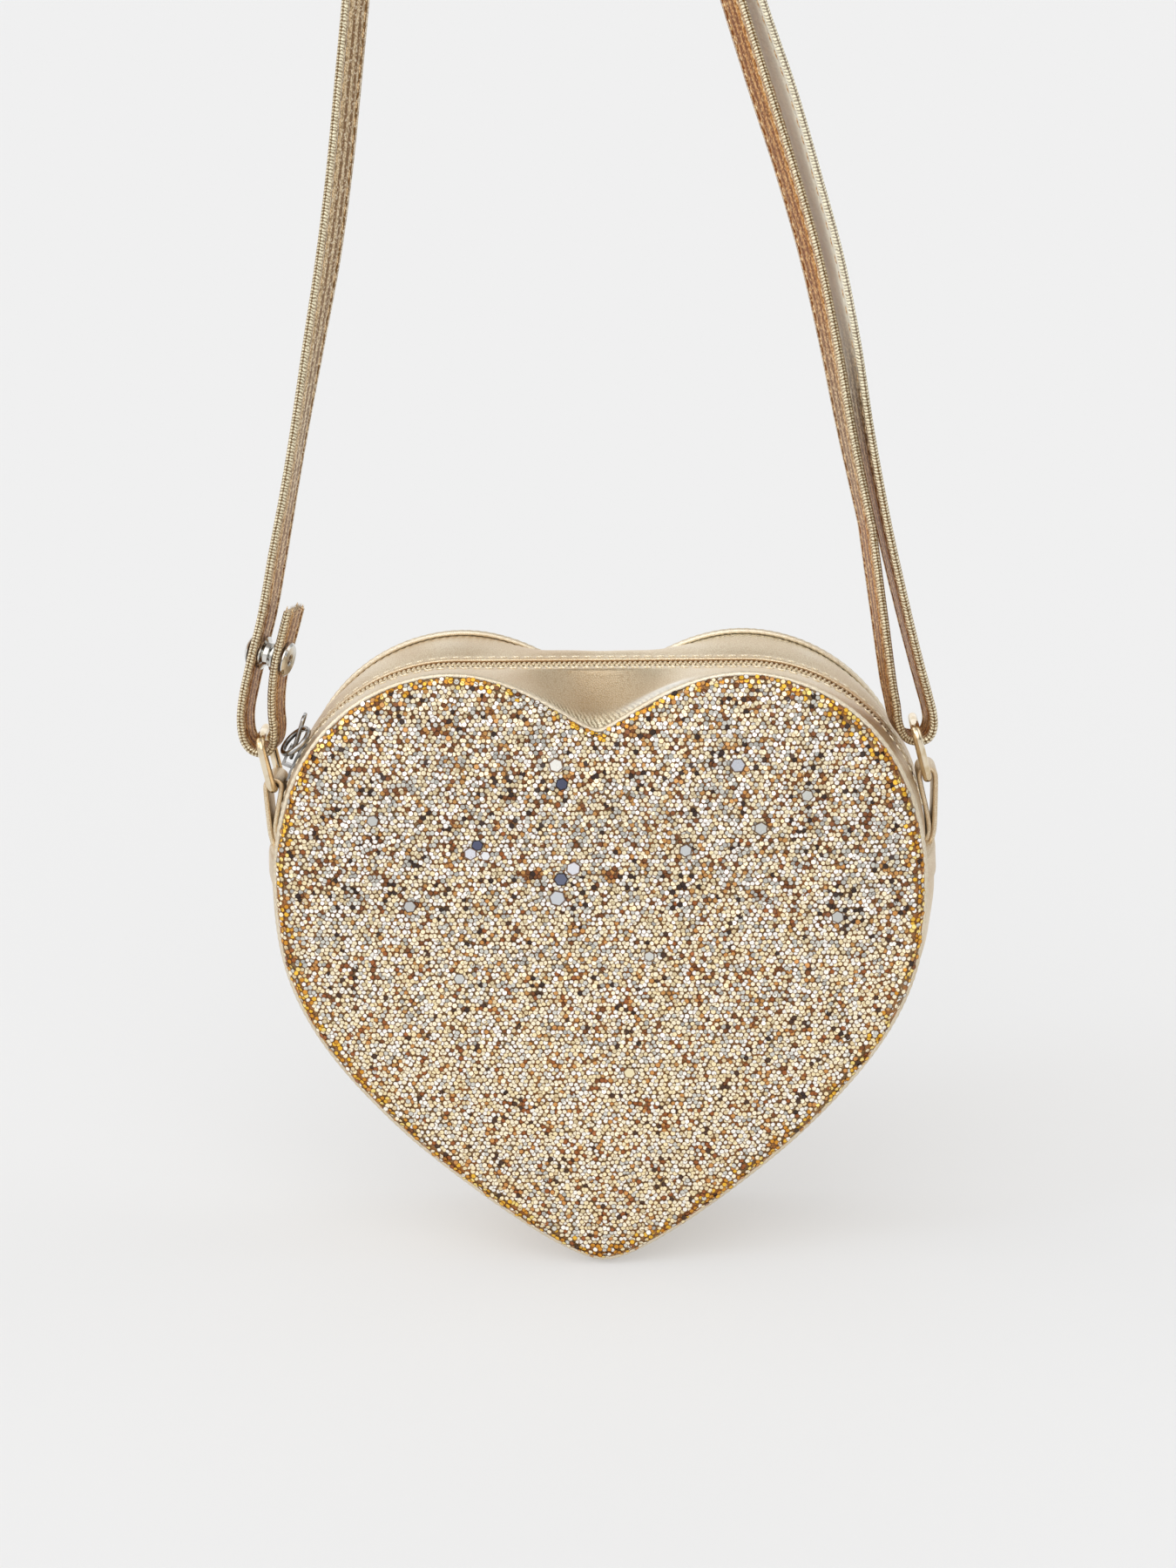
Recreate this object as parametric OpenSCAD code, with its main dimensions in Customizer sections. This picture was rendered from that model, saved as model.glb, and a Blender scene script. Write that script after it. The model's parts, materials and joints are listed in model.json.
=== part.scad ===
// Heart shaped purse: two heart panels, a gusset band between them, a zip over the top,
// and a flat strap that loops through two rings held by side tabs.
// Everything is drawn in the bag's own frame (x across, front face towards -y, z = 0 at the
// top of the lobes) and hung from the inside of the strap's top by the hang() module.

/* [Body] */
// Width of the front panel across the lobes
panel_w = 164; // [150:1:180]
// Depth of the bag between the two panels
bag_depth = 50; // [40:1:56]
// How far the soft front panel crowns outwards
panel_crown = 2.6; // [1:0.1:4]
// How far the side band swells outwards at mid depth
band_swell = 2.2; // [0.5:0.1:2.4]
// Thickness of the coated fabric
skin_t = 1.0; // [0.8:0.1:1.2]
// Radius of the piping cord in the panel seams
piping_r = 0.65; // [0.5:0.05:0.7]

/* [Zip] */
// Width of each toothed row
teeth_w = 1.6; // [1.4:0.1:1.7]
// Distance between teeth along the zip
teeth_pitch = 2.4; // [2.2:0.1:3.2]
// Half width of the slider
slider_half_w = 3.8; // [3.6:0.1:3.9]
// Length of the slider
slider_len = 10.4; // [9:0.1:11]
// Length of the pull link between its two cross wires
link_len = 11.6; // [10:0.1:12]

/* [Strap and rings] */
// Width of the strap
strap_w = 11; // [9:0.5:11]
// Thickness of the folded strap
strap_t = 2.2; // [1.8:0.1:2.2]
// Wire diameter of the side rings
ring_wire = 2.4; // [2:0.1:2.4]
// Width of the side rings, outside
ring_w = 18; // [17.5:0.5:19]
// Height of the side rings, outside
ring_h = 16; // [15.5:0.1:16.5]

/* [Hidden] */

// Curve fineness
$fn = 48;
curve_steps = 12;

// Colours
glitter_gold = [0.80, 0.68, 0.42];
champagne = [0.84, 0.75, 0.58];
cream_gold = [0.90, 0.82, 0.66];
lining_tan = [0.62, 0.52, 0.40];
board_grey = [0.55, 0.53, 0.50];
nickel = [0.45, 0.44, 0.42];
bright_nickel = [0.78, 0.76, 0.71];

// Heart outline, right half from the cleft to the tip: each row is one cubic curve
lobe_scale = panel_w / 164;
half_outline = [
    [[0, -14.5], [5, -14.5], [18.5, 0], [36.8, 0]],
    [[36.8, 0], [54.5, 0], [82, -13.3], [82, -56]],
    [[82, -56], [82, -78.2], [77.1, -94.7], [49.4, -122.1]],
    [[49.4, -122.1], [42.3, -129.1], [10.7, -156], [0, -156]]
];
// The side band meets the two zip bands this many steps from the cleft
split_steps = 23;
band_split = split_steps / curve_steps;
split_gap = 0.012;

// Levels in depth
half_depth = bag_depth / 2;
fit_gap = 0.1;
panel_back_y = half_depth - 0.05;
panel_edge_y = half_depth + 0.7;
piping_y = half_depth - 0.8;
board_y = [half_depth - 1.25, half_depth - 0.15];
lining_y = [half_depth - 1.75, half_depth - 1.35];
band_y = piping_y - piping_r - fit_gap;
heart_middle = [0, -62];

// Zip path: a straight run over the cleft, and a round arc over each lobe
arc_centre = [37.3, -48.3];
arc_r = 45;
arc_end = 81;
tape_t = 0.5;
tape_y = [2.3, 7.2];
lip_y = 4.3;
lip_flat_y = 7.5;
lip_n = 0.5;
// How far a zip band bows out over a lobe, and how much that changes over the cleft: the front
// one sinks in and the back one bulges
band_bow = 0.7;
cleft_bow = [-2.4, 3.9];
teeth_y = 0.6;
teeth_h = 1.0;
teeth_root = 0.45;
stop_len = 2.2;
stop_plate = 0.4;

// Zip slider
slider_at = 63.2;
plate_in = 1.45;
plate_t = 0.9;
flange_in = 0.65;
flange_w = 0.8;
neck_half_w = 0.3;
bridge_half_w = 1.0;
bridge_top = 5.0;
bridge_wall = 0.75;
link_n = 3.3;
link_wire = 1.0;
link_half_w = 2.3;
link_lean = 8;
pull_ring_wire = 1.4;
pull_ring_r = 4.3;
pull_ring_centre = [-78.86, -3.26, -21.59];
pull_ring_tilt = 41.3;
pull_ring_turn = 204.1;

// Side rings and tabs: lower bar centre of each ring, and its lean
left_bar = [-84.8, -33.6];
right_bar = [84.2, -31.6];
left_lean = 12;
right_lean = 14;
ring_corner = 2.6;
tab_strip = 1.3;
tab_w = 11;
tab_hole_r = ring_wire / 2 + 0.4;
tab_neck_z = -45.6;
tab_end_z = -63.4;
tab_face_x = 82 + band_swell + 0.15;

// Strap routes: across, height above the lobes, and how far the face turns about the
// vertical, in degrees
strap_route = [
    [-78.3, 12.5, 16], [-80.2, 6, 16], [-82.2, -1, 14], [-83.5, -8, 11], [-83.9, -14, 9],
    [-83.7, -18.6, 8], [-84.2, -22.1, 7], [-85.7, -24.1, 6], [-88.0, -24.4, 6],
    [-90.3, -23.1, 7], [-91.7, -20.2, 8], [-91.9, -15, 10], [-90.7, -8.5, 13],
    [-88.2, 1, 14], [-85.1, 12, 14], [-81.7, 28, 14], [-78.3, 44, 11], [-75.0, 60, 12],
    [-70.7, 81, 18], [-66.4, 102, 23], [-62.9, 123, 25], [-60.2, 143, 26],
    [-55.5, 180, 26], [-50.3, 225, 24], [-45, 270, 21], [-39.5, 310, 15], [-36.3, 334, 8],
    [-35.4, 345, 5], [-33.2, 352, 3], [-29.0, 356, 1], [-24, 357.2, 0], [-19, 356.1, -1],
    [-14.9, 352, -4], [-12.2, 344, -8], [-9.0, 330, -14], [-2.6, 305, -20],
    [4.4, 280, -26], [8.9, 265, -26], [14.9, 245, -26], [21.8, 222, -26],
    [28.4, 200, -26], [34.4, 180, -26], [40.9, 160, -27], [47.2, 142, -28],
    [53.3, 122, -26], [59.2, 101, -25], [63.7, 80, -22], [67.5, 58, -18], [72.4, 34, -14],
    [77.6, 12, -12], [81.2, -2, -11], [83.2, -9.3, -11], [84.7, -15, -10],
    [85.0, -18.8, -8], [83.8, -21.5, -7], [81.1, -22.3, -6], [78.2, -21.3, -7],
    [76.2, -17.8, -9], [75.2, -12.5, -12], [74.0, -6, -13], [71.6, 11, -14],
    [68.3, 34, -15]];
strap_top = 357.2 - strap_t / 2;
strap_top_x = -24;

// Adjuster: a bowed three bar slider on the straight run of the strap
adjuster_at = [21.8, 222];
adjuster_slope = 16.7;
adjuster_turn = -26;
adjuster_bar_r = 1.0;
adjuster_half_w = 7.4;
adjuster_pitch = 6.4;
outer_bar_n = strap_t / 2 + 0.4 + adjuster_bar_r;
sewn_r = adjuster_bar_r + 0.1 + 1.2;
centre_bar_n = -(strap_t / 2 + 0.4 + sewn_r);
sewn_len = 12.6;
// Return strand, from under the right ring up to the sewn end at the adjuster
return_route = [
    [68.2, 34.4, -15], [63.2, 57, -18], [58.7, 80, -22], [54.0, 101, -25],
    [48.0, 122, -26], [41.5, 142, -27], [35.2, 162, -27], [29.2, 182, -26],
    on_strap(centre_bar_n, -sewn_len - 8), on_strap(centre_bar_n, -sewn_len - 0.4)];

// Press stud that closes the strap's end on itself
snap_from = [-88.05, 0.8, 1.5];
snap_tilt = 103.1;
snap_turn = -14.5;
snap_run = 6.6;
snap_r = 4.8;
snap_seat = 0.35;
snap_gap = snap_run - strap_t - 2 * snap_seat;

// Curves

function bezier(c, t) =
    pow(1 - t, 3) * c[0] + 3 * pow(1 - t, 2) * t * c[1]
    + 3 * (1 - t) * t * t * c[2] + pow(t, 3) * c[3];

// A point of the heart: 0 at the cleft, 4 at the tip, negative on the left half
function heart_point(u) =
    let (a = abs(u), k = min(3, floor(a)), p = bezier(half_outline[k], a - k) * lobe_scale)
    [u < 0 ? -p[0] : p[0], p[1]];

function heart_normal(u) =
    let (step = 0.02,
         a = heart_point(max(-4, u - step)),
         b = heart_point(min(4, u + step)),
         d = b - a)
    [-d[1], d[0]] / norm(d);

function heart_offset(u, out) = heart_point(u) + out * heart_normal(u);

// Nearest point of the zip path to a point of the heart, pushed outwards
function zip_foot(p, out) =
    let (s = p[0] < 0 ? -1 : 1, ax = abs(p[0]))
    ax <= arc_centre[0]
    ? [p[0], arc_centre[1] + arc_r + out]
    : let (v = [ax, p[1]] - arc_centre, q = arc_centre + (arc_r + out) * v / norm(v))
      [s * q[0], q[1]];

function zip_normal(p) =
    let (s = p[0] < 0 ? -1 : 1, ax = abs(p[0]))
    ax <= arc_centre[0] ? [0, 1]
    : let (v = [ax, p[1]] - arc_centre) [s * v[0], v[1]] / norm(v);

// Points over the top of a circle, from just below its left side to just below its right
function arc_points(c, r) =
    [for (a = [190 : -12.5 : -10]) c + r * [cos(a), sin(a)]];

// A point on the round part of the zip over the left lobe, by angle from the top
function left_arc(angle, out) =
    [-arc_centre[0] - (arc_r + out) * sin(angle), arc_centre[1] + (arc_r + out) * cos(angle)];

heart_steps = [for (i = [-4 * curve_steps : 4 * curve_steps - 1]) i / curve_steps];

// A route point beside the strap at the adjuster: out of its face, and along the strap
function on_strap(out, along) =
    [adjuster_at[0] + out * cos(adjuster_turn) * cos(adjuster_slope)
         - along * sin(adjuster_slope),
     adjuster_at[1] + out * cos(adjuster_turn) * sin(adjuster_slope)
         + along * cos(adjuster_slope),
     adjuster_turn];

// A smooth curve through route points, with extra points between them
function spline(r, per) = [
    for (i = [0 : len(r) - 2], k = [0 : per - 1])
        let (t = k / per, a = r[max(0, i - 1)], b = r[i], c = r[i + 1],
             d = r[min(len(r) - 1, i + 2)])
        0.5 * (2 * b + (c - a) * t + (2 * a - 5 * b + 4 * c - d) * t * t
               + (3 * b - a - 3 * c + d) * t * t * t),
    r[len(r) - 1]];

// Shapes

// The bag hangs below the inside of the strap's top
module hang() {
    translate([-strap_top_x, 0, -strap_top]) children();
}

// Draws a profile of the x z plane between two depths
module across(y0, y1) {
    translate([0, y1, 0]) rotate([90, 0, 0]) linear_extrude(height = y1 - y0) children();
}

// A closed thin shell between two grids of points
module shell(outer, inner) {
    rows = len(outer);
    cols = len(outer[0]);
    points = concat([for (r = outer, p = r) p], [for (r = inner, p = r) p]);
    half = rows * cols;
    faces = concat(
        [for (i = [0 : rows - 2], j = [0 : cols - 2]) let (a = i * cols + j)
            each [[a, a + 1, a + cols + 1], [a, a + cols + 1, a + cols]]],
        [for (i = [0 : rows - 2], j = [0 : cols - 2]) let (a = half + i * cols + j)
            each [[a, a + cols + 1, a + 1], [a, a + cols, a + cols + 1]]],
        [for (i = [0 : rows - 2]) let (a = i * cols, b = a + cols)
            each [[a, b, b + half], [a, b + half, a + half]]],
        [for (i = [0 : rows - 2]) let (a = i * cols + cols - 1, b = a + cols)
            each [[a, b + half, b], [a, a + half, b + half]]],
        [for (j = [0 : cols - 2])
            each [[j, j + half, j + 1 + half], [j, j + 1 + half, j + 1]]],
        [for (j = [0 : cols - 2]) let (a = (rows - 1) * cols + j)
            each [[a, a + 1 + half, a + half], [a, a + 1, a + 1 + half]]]);
    polyhedron(points, faces, convexity = 6);
}

// A tube from rings of points, closed on itself or capped at both ends
module ring_tube(rings, closed = false) {
    n = len(rings);
    m = len(rings[0]);
    last = closed ? n - 1 : n - 2;
    points = [for (r = rings, p = r) p];
    sides = [for (i = [0 : last], j = [0 : m - 1])
        let (a = i * m + j, b = i * m + (j + 1) % m,
             c = ((i + 1) % n) * m + (j + 1) % m, d = ((i + 1) % n) * m + j)
        each [[a, b, c], [a, c, d]]];
    caps = closed ? []
        : concat([for (j = [1 : m - 2]) [0, j + 1, j]],
                 [for (j = [1 : m - 2]) let (k = (n - 1) * m) [k, k + j, k + j + 1]]);
    polyhedron(points, concat(sides, caps), convexity = 8);
}

// A heart plate of even thickness, shrunk about the middle of the panel
module heart_plate(y0, y1, k) {
    across(y0, y1) polygon([for (u = heart_steps)
        heart_middle + k * (heart_point(u) - heart_middle)]);
}

// A panel that crowns outwards: rings of ever smaller hearts, each a little further out
module crowned_panel(crown, side) {
    levels = [[0.985, 0], [1, 0.35], [1, panel_edge_y - panel_back_y],
              [0.985, panel_edge_y - panel_back_y + 0.35 * crown],
              [0.9, panel_edge_y - panel_back_y + 0.7 * crown],
              [0.7, panel_edge_y - panel_back_y + 0.93 * crown],
              [0.35, panel_edge_y - panel_back_y + crown]];
    order = side < 0 ? [for (i = [0 : len(levels) - 1]) i]
                     : [for (i = [len(levels) - 1 : -1 : 0]) i];
    ring_tube([for (i = order) [for (u = heart_steps)
        let (p = heart_middle + levels[i][0] * (heart_point(u) - heart_middle))
        [p[0], side * (panel_back_y + levels[i][1]), p[1]]]]);
}

// Piping: a round cord along the whole outline
module piping(side) {
    ring_tube([for (u = heart_steps) let (n = heart_normal(u), c = heart_offset(u, 0.1))
        [for (k = [0 : 5]) let (a = 60 * k,
                                p = c + piping_r * cos(a) * n)
            [p[0], side * piping_y + piping_r * sin(a), p[1]]]], closed = true);
}

// Side band between the panels, swelling outwards at mid depth
module side_band(out, thick, reach, swell, cols) {
    start = band_split + split_gap;
    us = concat([start],
                [for (i = [split_steps + 1 : 8 * curve_steps - split_steps - 1])
                    let (u = i / curve_steps) u <= 4 ? u : u - 8],
                [-start]);
    function grid(k) = [for (u = us) [for (j = [0 : cols])
        let (t = 2 * j / cols - 1,
             p = heart_offset(u, out - k + swell * (1 - t * t)))
        [p[0], t * reach, p[1]]]];
    shell(grid(0), grid(thick));
}

// One zip band: from the panel seam, over a ramp, to the flat lip beside the zip
module zip_band(side) {
    us = [for (i = [-split_steps : split_steps]) i / curve_steps];
    ramp = [0, 0.14, 0.3, 0.48, 0.66, 0.84, 1];
    function ramp_point(u, t, k) =
        let (p = heart_point(u), q = zip_foot(p, lip_n + skin_t),
             n = zip_normal(p), rise = max(0, min(1, ((q - p) * n) / 13)),
             bow = band_bow + (side < 0 ? cleft_bow[0] : cleft_bow[1]) * rise,
             r = p + t * (q - p) + (4 * bow * t * (1 - t) - k) * n)
        [r[0], side * (band_y + t * (lip_flat_y - band_y)), r[1]];
    function lip_point(u, k) =
        let (q = zip_foot(heart_point(u), lip_n + skin_t - k)) [q[0], side * lip_y, q[1]];
    function grid(k) = [for (u = us)
        concat([for (t = ramp) ramp_point(u, t, k)], [lip_point(u, k)])];
    if (side < 0) shell(grid(0), grid(skin_t));
    else shell([for (r = grid(0)) [for (i = [len(r) - 1 : -1 : 0]) r[i]]],
               [for (r = grid(skin_t)) [for (i = [len(r) - 1 : -1 : 0]) r[i]]]);
}

// A strip that follows the zip path, drawn in the x z plane
module zip_strip(n0, n1) {
    top = arc_centre[1] + arc_r;
    translate([-arc_centre[0], top + n0]) square([2 * arc_centre[0], n1 - n0]);
    for (s = [-1, 1]) translate([s * arc_centre[0], arc_centre[1]]) scale([s, 1])
        difference() {
            circle(r = arc_r + n1, $fn = 180);
            circle(r = arc_r + n0, $fn = 180);
            translate([-2 * arc_r, -2 * arc_r]) square([2 * arc_r, 4 * arc_r]);
            rotate(90 - arc_end) translate([-2 * arc_r, -4 * arc_r])
                square([4 * arc_r, 4 * arc_r]);
        }
}

// The teeth of one row: a smooth root strip with a comb of teeth outside and inside
module zip_teeth(side) {
    straight = 2 * arc_centre[0];
    flat_count = floor(straight / teeth_pitch);
    turn = teeth_pitch / arc_r * 180 / PI;
    arc_count = floor((arc_end - 8) / turn);
    y0 = side < 0 ? -teeth_y - teeth_w : teeth_y;
    across(y0, y0 + teeth_w) {
        zip_strip(-teeth_root, teeth_root);
        for (i = [0 : flat_count - 1])
            translate([(i + 0.5 - flat_count / 2) * teeth_pitch, arc_centre[1] + arc_r])
                square([teeth_pitch * 0.55, 2 * teeth_h], center = true);
        for (s = [-1, 1], i = [0 : arc_count - 1])
            translate([s * arc_centre[0], arc_centre[1]]) rotate(-s * turn * (i + 0.9))
                translate([0, arc_r])
                    square([teeth_pitch * 0.55, 2 * teeth_h], center = true);
    }
}

// A stop across one end of the teeth: two plates joined by a web between the rows
module zip_stop(angle) {
    s = angle < 0 ? -1 : 1;
    room = teeth_h + fit_gap;
    translate([s * arc_centre[0], 0, arc_centre[1]]) rotate([0, angle, 0])
        translate([0, 0, arc_r]) {
            for (t = [-1, 1]) translate([0, 0, t * (room + stop_plate / 2)])
                cube([stop_len, 2 * (teeth_y + teeth_w) + 0.6, stop_plate], center = true);
            cube([stop_len, 2 * (teeth_y - fit_gap), 2 * room + stop_plate], center = true);
        }
}

// Places a child drawn on the zip's top, with +x towards the tail, at the slider
module at_slider(angle) {
    translate([-arc_centre[0], 0, arc_centre[1]]) rotate([0, -angle, 0]) children();
}

// A sector of a ring about the lobe's centre, between two radii and two angles
module arc_block(r0, r1, a0, a1, half_w) {
    across(-half_w, half_w) intersection() {
        difference() {
            circle(r = arc_r + r1, $fn = 180);
            circle(r = arc_r + r0, $fn = 180);
        }
        polygon([[0, 0],
                 2 * arc_r * [sin(a0), cos(a0)],
                 2 * arc_r * [sin(a1), cos(a1)]]);
    }
}

// A flat strap swept along a route; its width stays near level while the face turns, and it
// may drift to one side along its length
module strap_sweep(route, steps, drift = 0) {
    pts = spline(route, steps);
    n = len(pts);
    function frame_at(i) =
        let (a = pts[max(0, i - 1)], b = pts[min(n - 1, i + 1)],
             d3 = [b[0] - a[0], 0, b[1] - a[1]], d = d3 / norm(d3),
             flat = [sin(pts[i][2]), cos(pts[i][2]), 0],
             w3 = flat - (flat * d) * d, w = w3 / norm(w3))
        [[pts[i][0], drift * i / (n - 1), pts[i][1]], w, cross(d, w)];
    section = [[-1, 0.45], [-0.86, 1], [0.86, 1], [1, 0.45],
               [1, -0.45], [0.86, -1], [-0.86, -1], [-1, -0.45]];
    ring_tube([for (i = [0 : n - 1]) let (f = frame_at(i))
        [for (s = section)
            f[0] + s[0] * strap_w / 2 * f[1] + s[1] * strap_t / 2 * f[2]]]);
}

// A rounded rectangle of wire in the y z plane, with its lower bar through the origin
module wire_frame(wide, high, wire, corner) {
    half = wide / 2 - wire / 2;
    for (z = [0, high - wire]) translate([0, -half + corner, z]) rotate([-90, 0, 0])
        cylinder(d = wire, h = 2 * (half - corner));
    for (s = [-1, 1]) translate([0, s * half, corner])
        cylinder(d = wire, h = high - wire - 2 * corner);
    for (s = [-1, 1], t = [0, 1])
        translate([0, s * (half - corner), t ? high - wire - corner : corner])
            rotate([0, 90, 0]) rotate([0, 0, s > 0 ? (t ? 90 : 0) : (t ? 180 : 270)])
                rotate_extrude(angle = 90) translate([corner, 0]) circle(d = wire);
}

// A side ring: its lower bar sits in the tab, and it leans sideways
module side_ring(bar, lean) {
    translate([bar[0], 0, bar[1]]) rotate([0, -lean, 0])
        wire_frame(ring_w, ring_h, ring_wire, ring_corner);
}

// A tab: a strip folded round the ring's bar, its two layers sewn on the side band
module side_tab(bar, side) {
    far_x = side * (tab_face_x + 2 * tab_strip);
    left = min(side * tab_face_x, far_x);
    right = max(side * tab_face_x, far_x);
    across(-tab_w / 2, tab_w / 2) difference() {
        polygon(concat(arc_points(bar, tab_hole_r + tab_strip),
                       [[right, tab_neck_z], [right, tab_end_z],
                        [left, tab_end_z], [left, tab_neck_z]]));
        polygon(concat(arc_points(bar, tab_hole_r),
                       [[(left + right) / 2, tab_neck_z + 3.4]]));
    }
}

// Sub-parts

module front_panel() { color(glitter_gold) hang() crowned_panel(panel_crown, -1); }
module front_board() { color(board_grey) hang() heart_plate(-board_y[1], -board_y[0], 0.96); }
module back_panel() { color(champagne) hang() heart_plate(panel_back_y, panel_edge_y, 1); }
module back_board() { color(board_grey) hang() heart_plate(board_y[0], board_y[1], 0.96); }
module front_piping() { color(cream_gold) hang() piping(-1); }
module back_piping() { color(champagne) hang() piping(1); }
module front_lining() { color(lining_tan) hang() heart_plate(-lining_y[1], -lining_y[0], 0.96); }
module back_lining() { color(lining_tan) hang() heart_plate(lining_y[0], lining_y[1], 0.96); }

module lower_gusset() {
    color(champagne) hang() side_band(0, skin_t, band_y, band_swell, 6);
}

module gusset_lining() {
    color(lining_tan) hang()
        side_band(-skin_t - fit_gap, 0.4, lining_y[0] - fit_gap, band_swell, 4);
}

module front_zip_gusset() { color(champagne) hang() zip_band(-1); }
module back_zip_gusset() { color(champagne) hang() zip_band(1); }

module zip_tape(side) {
    y0 = side < 0 ? -tape_y[1] : tape_y[0];
    across(y0, y0 + tape_y[1] - tape_y[0]) zip_strip(-tape_t / 2, tape_t / 2);
}

module front_zip_tape() { color(cream_gold) hang() zip_tape(-1); }
module back_zip_tape() { color(cream_gold) hang() zip_tape(1); }
module front_zip_teeth() { color(glitter_gold) hang() zip_teeth(-1); }
module back_zip_teeth() { color(glitter_gold) hang() zip_teeth(1); }
module zip_stop_left() { color(nickel) hang() zip_stop(-74); }
module zip_stop_right() { color(nickel) hang() zip_stop(72); }

// Slider: two curved plates with turned edges, a thin neck between the two rows of teeth,
// and a bridge for the pull
module zip_slider() {
    half_turn = slider_len / 2 / arc_r * 180 / PI;
    wall_turn = bridge_wall / arc_r * 180 / PI;
    bridge_turn = 3.4;
    color(nickel) hang() at_slider(slider_at) {
        intersection() {
            union() {
                for (s = [-1, 1]) difference() {
                    arc_block(s > 0 ? flange_in : -plate_in - plate_t,
                              s > 0 ? plate_in + plate_t : -flange_in,
                              -half_turn, half_turn, slider_half_w);
                    arc_block(s > 0 ? flange_in - 1 : -plate_in, s > 0 ? plate_in : -flange_in + 1,
                              -half_turn - 1, half_turn + 1, slider_half_w - flange_w);
                }
                arc_block(-plate_in - 0.1, plate_in + 0.1, -half_turn, -half_turn * 0.45,
                          neck_half_w);
            }
            translate([0, 0, arc_r - 10]) linear_extrude(height = 20)
                polygon([[-slider_len, -slider_half_w], [-1, -slider_half_w],
                         [slider_len / 2 + 0.2, -slider_half_w + 0.6],
                         [slider_len / 2 + 0.2, slider_half_w - 0.6],
                         [-1, slider_half_w], [-slider_len, slider_half_w]]);
        }
        difference() {
            arc_block(plate_in + plate_t - 0.1, bridge_top, -bridge_turn, bridge_turn,
                      bridge_half_w);
            arc_block(plate_in, bridge_top - bridge_wall, -bridge_turn + wall_turn,
                      bridge_turn - wall_turn, bridge_half_w + 1);
        }
    }
}

// Pull link: a long wire loop that passes under the slider's bridge
module zip_pull_link() {
    foot = left_arc(slider_at, link_n);
    color(bright_nickel) hang() translate([foot[0], 0, foot[1]])
        rotate([0, 90 - slider_at - link_lean, 0])
            wire_frame(2 * link_half_w + link_wire, link_len + link_wire, link_wire, 1.2);
}

// Pull ring: threaded through the link, hanging on its outer side
module zip_pull_ring() {
    color(bright_nickel) hang() translate(pull_ring_centre)
        rotate([0, pull_ring_tilt, pull_ring_turn])
            rotate_extrude() translate([pull_ring_r, 0]) circle(d = pull_ring_wire, $fn = 24);
}

module left_tab() { color(champagne) hang() side_tab(left_bar, -1); }
module right_tab() { color(champagne) hang() side_tab(right_bar, 1); }
module left_ring() { color(bright_nickel) hang() side_ring(left_bar, left_lean); }
module right_ring() { color(bright_nickel) hang() side_ring(right_bar, right_lean); }

module strap() { color(champagne) hang() strap_sweep(strap_route, 3); }
module strap_return() {
    color(champagne) hang()
        strap_sweep(return_route, 2, drift = centre_bar_n * sin(-adjuster_turn));
}

// Places a child at the adjuster: z along the strap, x out of its face, y across it
module at_adjuster() {
    translate([adjuster_at[0], 0, adjuster_at[1]]) rotate([0, -adjuster_slope, 0])
        rotate([0, 0, -adjuster_turn]) children();
}

// Adjuster: two outer bars, a centre bar set back behind the strap, and two bowed sides
module strap_adjuster() {
    bars = [[outer_bar_n, -adjuster_pitch], [centre_bar_n, 0], [outer_bar_n, adjuster_pitch]];
    color(bright_nickel) hang() at_adjuster() {
        for (b = bars) translate([b[0], -adjuster_half_w, b[1]]) rotate([-90, 0, 0])
            cylinder(r = adjuster_bar_r, h = 2 * adjuster_half_w);
        for (s = [-1, 1]) translate([0, s * adjuster_half_w, 0])
            across(-adjuster_bar_r, adjuster_bar_r) {
                for (b = bars) translate(b) circle(r = adjuster_bar_r + 0.15);
                for (i = [0, 1]) let (step = bars[i + 1] - bars[i])
                    translate(bars[i]) rotate(atan2(step[1], step[0]))
                        translate([0, -adjuster_bar_r]) square([norm(step), 2 * adjuster_bar_r]);
            }
    }
}

// The strap's sewn end, folded round the adjuster's centre bar
module strap_sewn_end() {
    color(champagne) hang() at_adjuster() translate([centre_bar_n, 0, 0])
        across(-strap_w / 2, strap_w / 2) difference() {
            union() {
                circle(r = sewn_r);
                translate([-strap_t / 2, -sewn_len]) square([strap_t, sewn_len]);
            }
            circle(r = adjuster_bar_r + 0.1);
        }
}

// Places a child on the press stud's axis, z = 0 on the outer strand's centre line
module at_snap() {
    translate(snap_from) rotate([0, snap_tilt, snap_turn]) children();
}

module snap_cap() {
    color(bright_nickel) hang() at_snap() translate([0, 0, -strap_t / 2 - snap_seat])
        rotate([180, 0, 0]) rotate_extrude() difference() {
            translate([0, -5.4]) intersection() {
                circle(r = 7.2, $fn = 96);
                translate([0, 5.4]) square([snap_r, 5]);
            }
            translate([-20, -20]) square([20, 40]);
        }
}

module snap_socket() {
    color(bright_nickel) hang() at_snap() translate([0, 0, strap_t / 2 + snap_seat])
        rotate_extrude() polygon([[1.9, 0], [snap_r - 0.4, 0], [snap_r - 0.4, 0.5],
                                  [3.2, 0.9], [3.0, snap_gap * 0.55], [1.9, snap_gap * 0.55]]);
}

module snap_stud() {
    base = snap_run - strap_t / 2 - snap_seat;
    color(bright_nickel) hang() at_snap() translate([0, 0, base]) rotate([180, 0, 0])
        rotate_extrude() polygon([[0, 0], [snap_r - 0.6, 0], [snap_r - 0.6, 0.5],
                                  [2.6, 0.9], [1.6, 1.2], [1.75, snap_gap - 0.9],
                                  [1.2, snap_gap - 0.5], [0, snap_gap - 0.4]]);
}

module snap_washer() {
    face = snap_run + strap_t / 2 + snap_seat;
    color(bright_nickel) hang() at_snap() translate([0, 0, face])
        rotate_extrude() polygon([[1.2, 0], [snap_r - 0.3, 0], [snap_r - 0.3, 0.3],
                                  [snap_r - 0.9, 0.8], [1.6, 0.8], [1.2, 0.5]]);
}

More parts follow.
